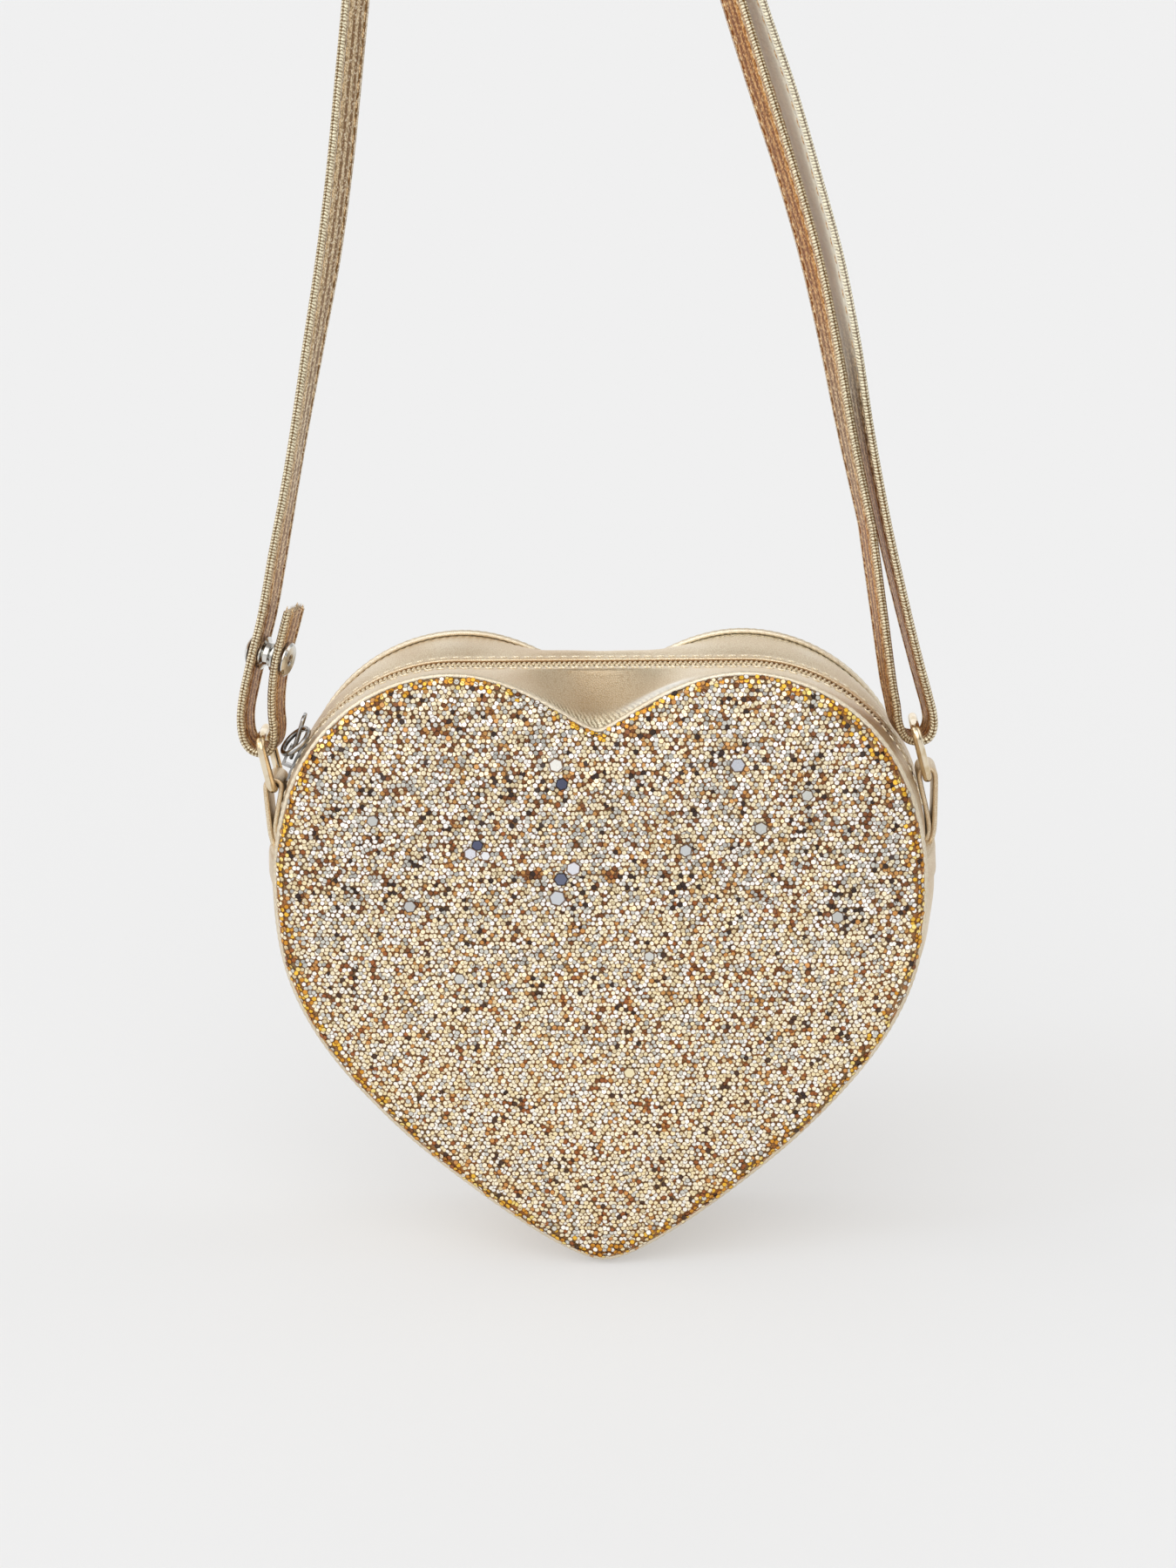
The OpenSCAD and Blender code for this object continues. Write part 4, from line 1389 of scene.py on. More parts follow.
    def share_out(self, x: np.ndarray, z: np.ndarray) -> np.ndarray:
        """How far out some places of the face are: 0 at its middle, 1 at its outline."""
        middle = np.array(self.outline.middle)
        edge = self.outline.point(self.outline.even(-4, 4, 2000)) - middle
        angle = np.arctan2(edge[:, 1], edge[:, 0])
        order = np.argsort(angle)
        reach = np.interp(np.arctan2(z - middle[1], x - middle[0]), angle[order],
                          np.hypot(*edge[order].T), period=math.tau)
        return np.hypot(x - middle[0], z - middle[1]) / reach

    def level(self, x: np.ndarray, z: np.ndarray) -> np.ndarray:
        """How far the face stands out from the seam plane at some places."""
        steps = self.profile()[6:][::-1]
        out = np.interp(self.share_out(x, z), steps[:, 0], steps[:, 1])
        return out + self.unevenness * self.humps(x, z)

    def _large(self, points: np.ndarray) -> None:
        """Lays the few large six sided flakes on the small ones.

        Args:
            points: Points of the panel.
        """
        verts, faces, tint = [], [], []
        flat = points.reshape(-1, 3)
        for number, (x, z, radius, colour) in enumerate(self.large_flakes):
            under = np.argmin((flat[:, 0] - x) ** 2 + (flat[:, 2] - z) ** 2)
            y = flat[under, 1] - self.large_lift
            first = len(verts)
            verts += [(x, y, z), (x, y + self.large_depth, z)]
            for k in range(6):
                a = self.large_spin * number + math.tau * k / 6
                lean = self.large_lean * math.sin(a + number)
                verts.append((x + radius * math.cos(a), y + lean, z + radius * math.sin(a)))
                b, c = first + 2 + k, first + 2 + (k + 1) % 6
                faces += [(first, b, c), (first + 1, c, b)]
            tint += [(*srgb(*colour), 1.0)] * 8
        # Painted shadow on the large flakes' outer points.
        rim = np.tile([0.0, 0.0] + [1.0] * 6, len(self.large_flakes))
        made = self.shop.piece("flakes_large", np.array(verts), faces, smooth=False,
                               attributes={"rim": rim, "tint": np.array(tint)})
        self.shop.hand_over(made, "root", "flake")


@dataclass
class BackPanel:
    """The back panel: plain coated fabric over its board."""

    shop: Workshop
    outline: HeartOutline
    front_y: float = 24.95
    back_y: float = 25.7
    crown: float = 0.9
    unevenness: float = 0.22
    around: int = 300

    def build(self) -> None:
        """Makes the panel."""
        rim = self.back_y - self.front_y
        steps = [(0.97, -0.2), (0.995, 0.0), (1.002, 0.2), (1.0, rim - 0.1), (0.992, rim)]
        steps += [(k, rim + self.crown * (1 - (k / 0.985) ** 3)) for k in
                  np.linspace(0.97, 0.02, 34)]
        steps = np.array(steps)
        rows = self.outline.shrunk(self.around, steps[:, 0])
        calm = np.clip(steps[:, 1][:, None] / 0.8, 0, 1)
        out = steps[:, 1][:, None] + self.unevenness * calm * ripple(
            rows[..., 0], rows[..., 1], 38, 11)
        verts, faces = dome(upright(rows, self.front_y + out),
                            np.array([0, self.front_y - 0.2, self.outline.middle[1]]))
        heart = self.outline.ring(self.around)
        # Painted shade along the seam: darker within 3 mm of the outline.
        near = np.clip(1 - np.linalg.norm(rows - heart, axis=-1) / 3.0, 0, 1).ravel()
        made = self.shop.piece("back_panel_skin", verts, faces, attributes={
            "crease": np.concatenate([near * 0.5, [0, 0]])})
        self.shop.hand_over(made, "root", "gusset", ("back_panel",))


@dataclass
class Piping:
    """Covered cord in the two panel seams."""

    shop: Workshop
    outline: HeartOutline
    radius: float = 0.85
    seam_y: float = 24.2
    out: float = 0.55
    pleat: float = 2.1
    pleat_height: float = 0.07
    count: int = 900

    def build(self) -> None:
        """Makes both cords, with small pleats where the cover is gathered."""
        whole = self.outline.even(-4, 4, self.count + 1)
        length = np.linalg.norm(np.diff(self.outline.point(whole), axis=0), axis=1).sum()
        phase = np.arange(self.count) / self.count * length / self.pleat * math.tau
        swell = self.radius * (1 + self.pleat_height * np.sin(phase))[:, None]
        centre = self.outline.offset(whole[:-1], self.out)[:, None, :]
        normal = self.outline.normal(whole[:-1])[:, None, :]
        angles = np.arange(12) / 12 * math.tau
        xz = centre + (swell * np.cos(angles))[..., None] * normal
        for face in Face:
            rings = upright(xz, face.value * self.seam_y + swell * np.sin(angles))
            verts, faces = tube(rings, closed=True)
            name = face.name.lower()
            made = self.shop.piece(f"{name}_piping_cord", verts, faces)
            self.shop.hand_over(made, "root", "piping", (f"{name}_piping",))


@dataclass
class Gusset:
    """The bands between the panels: the side band, and a ramp and lip on each side of the zip."""

    shop: Workshop
    outline: HeartOutline
    path: ZipPath
    rows: ThreadRow
    skin: float = 1.0
    band_y: float = 23.45
    band_step: float = 0.78
    split: float = 23 / 12
    lip_y: float = 4.3
    lip_flat_y: float = 7.5
    lip_n: float = 0.5
    bow: float = 0.7
    front_hollow: float = -2.4
    back_fullness: float = 3.9
    seam_share: float = 0.28
    roll_high: float = 1.1
    roll_at: tuple[float, float] = (14, 0.2)
    roll_size: tuple[float, float] = (8, 0.13)
    dish_reach: float = 24
    dish_passes: int = 300
    stitch_y: float = 6.0
    stitch_pitch: float = 3.1
    stitch_yaw: float = 0.16
    stitch_size: tuple[float, float, float] = (2.3, 0.75, 0.5)
    hem: tuple[float, float] = (-48.8, -56.4)

    def side_band(self) -> None:
        """Makes the band from tab to tab under the tip."""
        u = self.outline.even(self.split + 0.012, 8 - self.split - 0.012, 520)
        t = np.linspace(-1, 1, 33)
        a, b = np.meshgrid(np.arange(len(u)) * self.band_step, t * self.band_y, indexing="ij")
        near_seam = np.exp(-((1 - np.abs(b) / self.band_y) / 0.09) ** 2)
        wave = (0.32 * ripple(a, b, 30, 21) * (1 - near_seam)
                + 0.16 * near_seam * np.sin(a / 1.9 + 1.4 * ripple(a, b, 16, 22)))
        z = self.outline.point(u)[:, 1]
        top, foot = self.hem
        swell = np.interp(z, (-150, -120, -90, foot - 0.5, foot + 0.3, top - 1.6, top - 0.4,
                              top + 0.3), (1.9, 2.6, 4.2, 4.4, 5.0, 5.0, 4.6, 1.9))

        def layer(depth: float) -> np.ndarray:
            """The band's points at a depth under its skin."""
            out = -depth + swell[:, None] * (1 - t[None, :] ** 2) + wave * 0.8
            return upright(self.outline.offset(np.repeat(u[:, None], len(t), 1), out), b)

        verts, faces = shell(layer(0), layer(self.skin))
        # Painted shade near both seams and in the ripples' hollows.
        crease = np.clip(near_seam * 0.7 - wave * 0.8, 0, 1).ravel()
        made = self.shop.piece("side_band_skin", verts, faces,
                               attributes={"crease": np.concatenate([crease, crease])})
        self.shop.hand_over(made, "root", "gusset", ("lower_gusset",))

    def zip_band(self, face: Face) -> None:
        """Makes the ramp and lip on one side of the zip.

        Args:
            face: Which side.
        """
        front, side = face is Face.FRONT, face.value
        u = self.outline.even(-self.split, self.split, 560)
        heart = self.outline.point(u)
        normal = self.path.normal(heart)
        top = self.path.foot(heart, self.lip_n + self.skin)
        rise = np.clip(np.sum((top - heart) * normal, -1) / 13, 0, 1)
        bow = self.bow + (self.front_hollow if front else self.back_fullness) * rise
        step = np.linalg.norm(np.diff(heart, axis=0), axis=1).mean()
        a, b = np.meshgrid(np.arange(len(u)) * step, np.linspace(0, 1, 30), indexing="ij")
        near_seam = np.exp(-(b / self.seam_share) ** 2)
        tight = 0.3 + 0.7 * rise[:, None] if front else 0.75 + 0 * b
        x = heart[:, :1]
        roll = front * np.exp(-((x - self.roll_at[0]) / self.roll_size[0]) ** 2
                              - ((b - self.roll_at[1]) / self.roll_size[1]) ** 2)
        wave = (0.16 * tight * near_seam * np.sin(a * 3.1 + 1.6 * ripple(a, b * 20, 9, 31))
                + self.roll_high * roll
                + 0.22 * ripple(a, b * 16, 26, 32) * np.sin(b * math.pi))
        calm = np.clip(b / 0.06, 0, 1) * np.clip((1 - b) / 0.08, 0, 1)
        dished = (np.exp(-(x / self.dish_reach) ** 2) * np.clip((b - 0.02) / 0.25, 0, 1)
                  * np.clip((1 - b) / 0.12, 0, 1))

        def layer(depth: float) -> np.ndarray:
            """The band's points at a depth under its skin, from the seam to the zip."""
            lift = 4 * bow[:, None] * b * (1 - b) - depth + wave * calm
            xz = heart[:, None] + b[..., None] * (top - heart)[:, None] + (
                lift[..., None] * normal[:, None])
            if front:
                xz = xz + dished[..., None] * (smoothed(xz, self.dish_passes) - xz)
            parts = [upright(xz, side * (self.band_y + b * (self.lip_flat_y - self.band_y)))]
            for y, drop in ((7.0, 0.02), (6.6, 0.03), (6.2, 0.03), (5.6, 0.0), (5.0, 0.0),
                            (self.lip_y + 0.25, 0.06), (self.lip_y, 0.3)):
                foot = self.path.foot(heart, self.lip_n + self.skin - depth - drop * (
                    depth == 0))
                parts.append(upright(foot, side * y)[:, None])
            return np.concatenate(parts, axis=1)

        # Painted shade: darker in the middle of the front ramp.
        painted_centre_shade = front * 0.45 * np.exp(-((x + 1) / 9) ** 2 - ((b - 0.55) / 0.4) ** 2)
        gathers = np.exp(-((x + 5) / 15) ** 2) if front else np.clip((x - 8) / 12, 0.1, 1)
        # Painted shade: darker streaks where the band turns to face sideways over the lobes.
        facing = np.clip((np.abs(normal[:, :1]) - 0.55) / 0.3, 0, 1)
        # crease: painted shade near the seam, in the ripples' hollows, in the ramp's middle and
        # on the sideways ends; below 0, a painted highlight on the ripples' crests and on the
        # roll.
        crease = near_seam * tight * 0.4 - wave * 0.9 + painted_centre_shade - roll + facing * (
            0.32 + 0.24 * np.sin(b * 26 + 1.5 * ripple(a, b * 20, 22, 33)))
        # bead: ribs near the seam, whose light and dark the material paints as highlight and
        # shade.
        marks = {"crease": np.clip(crease, -1, 1), "along": a * 0.62, "across": b * 20,
                 "bead": np.clip(1.7 * np.exp(-(b / 0.2) ** 2) * gathers, 0, 0.9)}
        order = slice(None, None, 1 if front else -1)
        outer, inner = layer(0)[:, order], layer(self.skin)[:, order]
        verts, faces = shell(outer, inner)
        rest = np.zeros((len(u), outer.shape[1] - b.shape[1]))
        for key, values in marks.items():
            values = np.concatenate([values, rest], axis=1)[:, order]
            marks[key] = np.tile(values.ravel(), 2)
        name = face.name.lower()
        made = self.shop.piece(f"{name}_zip_band_skin", verts, faces, attributes=marks)
        self.shop.hand_over(made, "root", "gusset", (f"{name}_zip_gusset",))

    def stitches(self, face: Face) -> None:
        """Sews a lip down beside the zip.

        Args:
            face: Which side.
        """
        reach = self.path.end_angle - 4
        xz, out = self.path.run(-reach, reach, 1.5)
        line = self.shop.line(f"{face.name.lower()}_lip_stitches", upright(
            xz + (self.lip_n + self.skin + 0.02) * out, face.value * self.stitch_y),
            upright(out, 0.0))
        made = self.rows.lay(line, self.shop, "thread", self.stitch_pitch,
                             self.stitch_size, self.stitch_yaw * face.value)
        self.shop.hand_over(made, "root", "thread")

    def build(self) -> None:
        """Makes the bands."""
        self.side_band()
        for face in Face:
            self.zip_band(face)
            self.stitches(face)


@dataclass
class ZipChain:
    """The zip: tapes, coil teeth, stops, slider, link and pull ring."""

    shop: Workshop
    path: ZipPath
    rows: ThreadRow
    tape_y: tuple[float, float] = (1.4, 7.2)
    tape_t: float = 0.5
    tooth_y: float = 1.36
    tooth_lift: float = 0.55
    tooth_pitch: float = 1.3
    tooth_yaw: float = -0.35
    tooth_size: tuple[float, float, float] = (0.85, 2.15, 1.5)
    pressings: tuple = (("zip_slider", "zip_slider", 0.28), ("zip_stop_left", "root", 0.12),
                        ("zip_stop_right", "root", 0.12))

    def tapes(self) -> None:
        """Makes the two tapes."""
        reach = self.path.end_angle
        xz, out = self.path.run(-reach, reach, 1.2)
        ys = np.linspace(*self.tape_y, 8)
        upper, lower = (np.repeat((xz + lift * out)[:, None], len(ys), axis=1)
                        for lift in (self.tape_t / 2, -self.tape_t / 2))
        for face in Face:
            y = face.value * ys[::-face.value]
            verts, faces = shell(upright(upper, y), upright(lower, y))
            name = face.name.lower()
            made = self.shop.piece(f"{name}_tape_cloth", verts, faces)
            self.shop.hand_over(made, "root", "tape", (f"{name}_zip_tape",))

    def teeth(self) -> None:
        """Makes the two rows of coil teeth, half a pitch apart."""
        reach = self.path.end_angle - 6
        xz, out = self.path.run(-reach, reach, 0.65)
        tangent = np.stack([out[:, 1], -out[:, 0]], -1)
        for face in Face:
            name = face.name.lower()
            shift = 0.5 * self.tooth_pitch if face is Face.BACK else 0.0
            line = self.shop.line(f"{name}_coil_teeth", upright(
                xz + shift * tangent + self.tooth_lift * out, face.value * self.tooth_y),
                upright(out, 0.0))
            made = self.rows.lay(line, self.shop, "teeth", self.tooth_pitch,
                                 self.tooth_size, self.tooth_yaw * face.value)
            self.shop.hand_over(made, "root", "teeth", (f"{name}_zip_teeth",))

    def metalwork(self) -> None:
        """Rounds the slider's and stops' edges and plates the wire parts."""
        for node, body, width in self.pressings:
            made = self.shop.bevel(self.shop.copy_of(node, f"{node}_pressing"), width)
            self.shop.hand_over(made, body, "gunmetal", (node,))
        for node in ("zip_pull_link", "zip_pull_ring"):
            made = self.shop.copy_of(node, f"{node}_wire", smooth=True)
            self.shop.hand_over(made, node, "gunmetal", (node,))

    def build(self) -> None:
        """Makes the zip."""
        self.tapes()
        self.teeth()
        self.metalwork()


@dataclass
class SideTab:
    """A tab folded round a ring's lower bar, its two layers tucked into the band's hem."""

    shop: Workshop
    side: Side
    bar: tuple[float, float]
    face_x: float = 84.35
    strip: float = 1.3
    width: float = 11.0
    corner: float = 0.5
    hole: float = 1.6
    neck_z: float = -43.6
    end_z: float = -54.0
    tuck: float = 3.2
    passes: int = 6

    def centre_line(self) -> np.ndarray:
        """The strip's middle from its inner end, over the bar, to its outer end."""
        s = self.side.value
        inner_x = s * (self.face_x + self.strip / 2)
        outer_x = s * (self.face_x + 1.5 * self.strip)
        radius = self.hole + self.strip / 2
        over = [np.array(self.bar) + radius * np.array([-s * math.cos(a), math.sin(a)])
                for a in np.radians(np.linspace(-12, 192, 22))]
        down_in = [(inner_x, z) for z in np.linspace(self.end_z, self.neck_z + 0.6, 16)]
        down_out = [(outer_x, z) for z in np.linspace(self.neck_z + 0.6, self.end_z, 16)]
        line = np.array([*down_in, *over, *down_out])
        deep = np.clip((self.neck_z - 1.0 - line[:, 1]) / (self.neck_z - self.end_z), 0, 1)
        line[:, 0] -= s * self.tuck * deep ** 1.5
        return smoothed(line, self.passes)

    def section(self) -> np.ndarray:
        """Half widths and heights round the strip, with rounded corners."""
        flat, high = self.width / 2 - self.corner, self.strip / 2 - self.corner
        section = []
        for number, (y, n) in enumerate(((1, 1), (-1, 1), (-1, -1), (1, -1))):
            for k in range(4):
                a = math.radians(90 * number + 30 * k)
                section.append((y * flat + self.corner * math.cos(a),
                                n * high + self.corner * math.sin(a)))
        return np.array(section)

    def build(self) -> None:
        """Makes the folded strip."""
        line, section = self.centre_line(), self.section()
        run = np.gradient(line, axis=0)
        run /= np.linalg.norm(run, axis=1, keepdims=True)
        out = np.stack([-run[:, 1], run[:, 0]], -1) * self.side.value
        rings = (upright(line, 0.0)[:, None] + section[None, :, 0, None] * np.array([0, 1, 0])
                 + section[None, :, 1, None] * upright(out, 0.0)[:, None])
        name = self.side.name.lower()
        made = self.shop.piece(f"{name}_tab_strip", *tube(rings))
        fix_normals(made)
        self.shop.hand_over(made, "root", "gusset", (f"{name}_tab",))


@dataclass
class StrapSweep:
    """A folded strap swept along a route: its width stays level while its face turns."""

    width: float = 11.0
    thick: float = 2.2
    groove_at: float = 3.5
    groove: float = 0.36

    def section(self) -> np.ndarray:
        """Half widths and heights round the strap, with a bead at each edge."""
        half, bead = self.width / 2, self.thick / 2
        places = [5.5, 5.48, 5.44, 5.25, 4.95, 4.7, 4.5, 4.0, 3.75, 3.5, 3.25, 3.0, 2.2, 0.0]
        places = places + [-p for p in places[-2::-1]]

        def height(a: float) -> float:
            """Half the strap's thickness at a place across it."""
            edge = max(0.0, abs(a) - (half - bead))
            body = math.sqrt(max(0.0, bead ** 2 - edge ** 2))
            dent = self.groove * math.exp(-((abs(a) - self.groove_at) / 0.42) ** 2)
            return body - (dent + 0.1 * (1 - (a / half) ** 2)) * (body > 0.4)

        top = [(a, height(a)) for a in places]
        return np.array(top + [(a, -b) for a, b in top[-2:0:-1]])

    @staticmethod
    def spline(route: np.ndarray, per: int) -> np.ndarray:
        """A smooth curve through route points, with extra points between them."""
        padded = np.concatenate([route[:1], route, route[-1:]])
        made = []
        for i in range(len(route) - 1):
            a, b, c, d = padded[i:i + 4]
            for t in np.arange(per) / per:
                made.append(0.5 * (2 * b + (c - a) * t + (2 * a - 5 * b + 4 * c - d) * t * t
                                   + (3 * b - a - 3 * c + d) * t ** 3))
        return np.array(made + [route[-1]])

    def frames(self, route: np.ndarray, per: int, drift: float = 0.0) -> tuple:
        """Places and directions along a route.

        Args:
            route: Rows of x, z and the turn of the face in degrees.
            per: Steps between route points.
            drift: How far the strap has moved in y at its end.

        Returns:
            Places, directions across the strap, and directions out of its face.
        """
        line = self.spline(route, per)
        count = len(line)
        ahead = line[np.minimum(np.arange(count) + 1, count - 1)]
        behind = line[np.maximum(np.arange(count) - 1, 0)]
        run = np.stack([ahead[:, 0] - behind[:, 0], np.zeros(count),
                        ahead[:, 1] - behind[:, 1]], -1)
        run /= np.linalg.norm(run, axis=1, keepdims=True)
        turn = np.radians(line[:, 2])
        flat = np.stack([np.sin(turn), np.cos(turn), np.zeros(count)], -1)
        across = flat - np.sum(flat * run, 1, keepdims=True) * run
        across /= np.linalg.norm(across, axis=1, keepdims=True)
        out = np.cross(run, across)
        places = np.stack([line[:, 0], drift * np.arange(count) / (count - 1), line[:, 1]], -1)
        return places, across, out

    def mesh(self, places: np.ndarray, across: np.ndarray, out: np.ndarray,
             painted_shade_and_light: np.ndarray) -> tuple:
        """Points, faces and attributes of the swept strap, with warm's painted orange-brown shade
        and, below 0, painted cream light.
        """
        section = self.section()
        rings = (places[:, None] + section[None, :, 0, None] * across[:, None]
                 + section[None, :, 1, None] * out[:, None])
        verts, faces = tube(rings)
        bead = np.clip((np.abs(section[:, 0]) - 4.7) / 0.3, 0, 1)
        seam = np.clip(1 - np.abs(section[:, 1]) / 0.3, 0, 1) * bead
        step = np.linalg.norm(np.diff(places, axis=0), axis=1)
        along = np.concatenate([[0], np.cumsum(step)])
        return verts, faces, {"bead": np.tile(bead, len(places)),
                              "along": np.repeat(along, len(section)),
                              "painted_shade_and_light": np.repeat(painted_shade_and_light, len(section)),
                              "seam": np.tile(seam, len(places)),
                              "across": np.tile(section[:, 0], len(places))}


@dataclass
class ShoulderStrap:
    """The strap: from the press stud through both rings to the adjuster."""

    shop: Workshop
    rows: ThreadRow
    sweep: StrapSweep = field(default_factory=StrapSweep)
    stitch_at: float = 3.5
    stitch_pitch: float = 4.3
    stitch_size: tuple[float, float, float] = (2.6, 0.6, 0.4)
    fibres: int = 90
    adjuster_at: tuple[float, float] = (21.8, 222.0)
    adjuster_slope: float = 16.7
    adjuster_turn: float = -26.0
    centre_bar: float = -3.8
    sewn_len: float = 12.6
    route: tuple = (
        (-78.3, 12.5, 16), (-80.2, 6, 16), (-82.2, -1, 14), (-83.5, -8, 11), (-83.9, -14, 9),
        (-83.7, -18.6, 8), (-84.2, -22.1, 7), (-85.7, -24.1, 6), (-88.0, -24.4, 6),
        (-90.3, -23.1, 7), (-91.7, -20.2, 8), (-91.9, -15, 10), (-90.7, -8.5, 13),
        (-88.2, 1, 14), (-85.1, 12, 14), (-81.7, 28, 14), (-78.3, 44, 11), (-75.0, 60, 12),
        (-70.7, 81, 18), (-66.4, 102, 23), (-62.9, 123, 25), (-60.2, 143, 26),
        (-55.5, 180, 26), (-50.3, 225, 24), (-45, 270, 21), (-39.5, 310, 15),
        (-36.3, 334, 8), (-35.4, 345, 5), (-33.2, 352, 3), (-29.0, 356, 1), (-24, 357.2, 0),
        (-19, 356.1, -1), (-14.9, 352, -4), (-12.2, 344, -8), (-9.0, 330, -14),
        (-2.6, 305, -20), (4.4, 280, -26), (8.9, 265, -26), (14.9, 245, -26),
        (21.8, 222, -26), (28.4, 200, -26), (34.4, 180, -26), (40.9, 160, -27),
        (47.2, 142, -28), (53.3, 122, -26), (59.2, 101, -25), (63.7, 80, -22),
        (67.5, 58, -18), (72.4, 34, -14), (77.6, 12, -12), (81.2, -2, -11), (83.2, -9.3, -11),
        (84.7, -15, -10), (85.0, -18.8, -8), (83.8, -21.5, -7), (81.1, -22.3, -6),
        (78.2, -21.3, -7), (76.2, -17.8, -9), (75.2, -12.5, -12), (74.0, -6, -13),
        (71.6, 11, -14), (68.3, 34, -15),
    )
    return_route: tuple = (
        (68.35, 33.6, -15), (63.2, 57, -18), (58.7, 80, -22), (54.0, 101, -25),
        (48.0, 122, -26), (41.5, 142, -27), (35.2, 162, -27), (29.2, 182, -26),
    )

    def on_strap(self, out: float, along: float) -> tuple[float, float, float]:
        """A route point beside the strap at the adjuster."""
        slope, turn = math.radians(self.adjuster_slope), math.radians(self.adjuster_turn)
        x, z = self.adjuster_at
        return (x + out * math.cos(turn) * math.cos(slope) - along * math.sin(slope),
                z + out * math.cos(turn) * math.sin(slope) + along * math.cos(slope),
                self.adjuster_turn)

    def stitches(self, name: str, frames: tuple) -> list[bpy.types.Object]:
        """Sews four rows along a swept strap, two on each face.

        Args:
            name: Start of the pieces' names.
            frames: Places and directions along the strap.

        Returns:
            The rows.
        """
        places, across, out = frames
        height = self.sweep.thick / 2 - self.sweep.groove + 0.04
        made = []
        for face, face_name in ((-1, "outer"), (1, "inner")):
            for edge, edge_name in ((-1, "front"), (1, "back")):
                line = self.shop.line(
                    f"{name}_{face_name}_{edge_name}",
                    places + edge * self.stitch_at * across + face * height * out, face * out)
                made.append(self.rows.lay(line, self.shop, "strap_thread",
                                          self.stitch_pitch, self.stitch_size))
        return made

    def main_run(self) -> None:
        """Makes the strap itself, with its stitches and its frayed end."""
        frames = self.sweep.frames(np.array(self.route, float), 16)
        x, z = frames[0][:, 0], frames[0][:, 2]
        # warm: painted orange-brown shade on the lower runs near the rings, and painted cream
        # light on the right run from z 90 to 190.
        left = np.interp(z, (-25, 15, 60), (0.75, 0.45, 0.12))
        right = np.interp(z, (45, 90, 190, 240), (0.75, -0.95, -0.8, 0.12))
        verts, faces, marks = self.sweep.mesh(*frames, np.where(x > 0, right, left))
        made = self.shop.piece("strap_skin", verts, faces, attributes=marks)
        fix_normals(made)
        self.shop.hand_over(made, "root", "strap", ("strap",))
        for row in self.stitches("strap_stitches", frames):
            self.shop.hand_over(row, "root", "strap_thread")
        self.frayed_end(frames)

    def frayed_end(self, frames: tuple) -> None:
        """Makes the short loose fibres of the cut end's backing.

        Args:
            frames: Places and directions along the strap.
        """
        place, across, out = (part[0] for part in frames)
        ahead = frames[0][1] - frames[0][0]
        away = -ahead / np.linalg.norm(ahead)
        rng = np.random.default_rng(17)
        foot, rooted = 0.12, 0.3
        verts, faces = [], []
        for _ in range(self.fibres):
            a, b = rng.uniform(-5.0, 5.0), rng.uniform(-0.8, 0.8)
            long = rng.uniform(0.5, 1.5)
            lean = rng.uniform(-0.6, 0.6, 2)
            root = place + a * across + b * out - rooted * away
            first = len(verts)
            for angle in (math.tau * k / 3 for k in range(3)):
                verts.append(root + foot * (math.cos(angle) * across + math.sin(angle) * out))
            verts.append(root + (rooted + long) * away + lean[0] * across + lean[1] * out)
            faces += [(first + i, first + j, first + k)
                      for i, j, k in ((0, 1, 3), (1, 2, 3), (2, 0, 3), (2, 1, 0))]
        made = self.shop.piece("strap_frayed_end", np.array(verts), faces, smooth=False)
        fix_normals(made)
        self.shop.hand_over(made, "root", "raw_edge")

    def return_run(self) -> None:
        """Makes the strand that comes back from the right ring to the adjuster."""
        ends = (self.on_strap(self.centre_bar, -self.sewn_len - 8),
                self.on_strap(self.centre_bar, -self.sewn_len - 0.4))
        route = np.array(self.return_route + ends, float)
        drift = self.centre_bar * math.sin(math.radians(-self.adjuster_turn))
        frames = self.sweep.frames(route, 24, drift)
        # warm: painted orange-brown shade along the returning strand, strongest at both ends.
        painted_shade_and_light = np.interp(frames[0][:, 2], (34, 48, 66, 96), (0.75, 0.4, 0.4, 0.85))
        verts, faces, marks = self.sweep.mesh(*frames, painted_shade_and_light)
        made = self.shop.piece("strap_return_skin", verts, faces, attributes=marks)
        fix_normals(made)
        rows = self.stitches("return_stitches", frames)
        start, end = self.shop.bag.place(frames[0][[0, -1]])
        made.data.materials.append(self.shop.finishes.materials["strap"])
        for thing in [made, *rows]:
            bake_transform(thing)
        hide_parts("strap_return")
        log.info("%s: %d faces", made.name, len(made.data.polygons))

    def fittings(self) -> None:
        """Finishes the sewn end and the adjuster."""
        for node, name, width, finish in (
                ("strap_sewn_end", "strap_sewn_loop", 0.5, "strap"),
                ("strap_adjuster", "three_bar_adjuster", 0.3, "ring")):
            made = self.shop.bevel(self.shop.copy_of(node, name), width)
            self.shop.hand_over(made, "adjuster", finish, (node,))

    def build(self) -> None:
        """Makes the strap."""
        self.main_run()
        self.return_run()
        self.fittings()


@dataclass
class KeptParts:
    """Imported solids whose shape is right: rings, press stud, boards and linings."""

    rings: tuple[str, ...] = ("left_ring", "right_ring")
    stud: tuple[str, ...] = ("snap_cap", "snap_socket", "snap_stud", "snap_washer")
    boards: tuple[str, ...] = ("front_board", "back_board")
    linings: tuple[str, ...] = ("front_lining", "back_lining", "gusset_lining")

    def dress(self, shop: Workshop) -> None:
        """Gives each solid its finish.

        Args:
            shop: The workshop.
        """
        for name in self.rings:
            made = shop.copy_of(name, f"{name}_wire", smooth=True)
            shop.hand_over(made, name, "ring", (name,))
        for name in self.linings:
            made = shop.bevel(shop.copy_of(name, f"{name}_cloth", smooth=True), 0.2)
            shop.hand_over(made, "root", "lining", (name,))
        for names, finish in ((self.stud, "stud"), (self.boards, "board")):
            material = shop.finishes.materials[finish]
            for name in names:
                part = frame["nodes"][name]
                part.data.materials.clear()
                part.data.materials.append(material)
                log.info("%s: packed solid with %s", name, material.name)


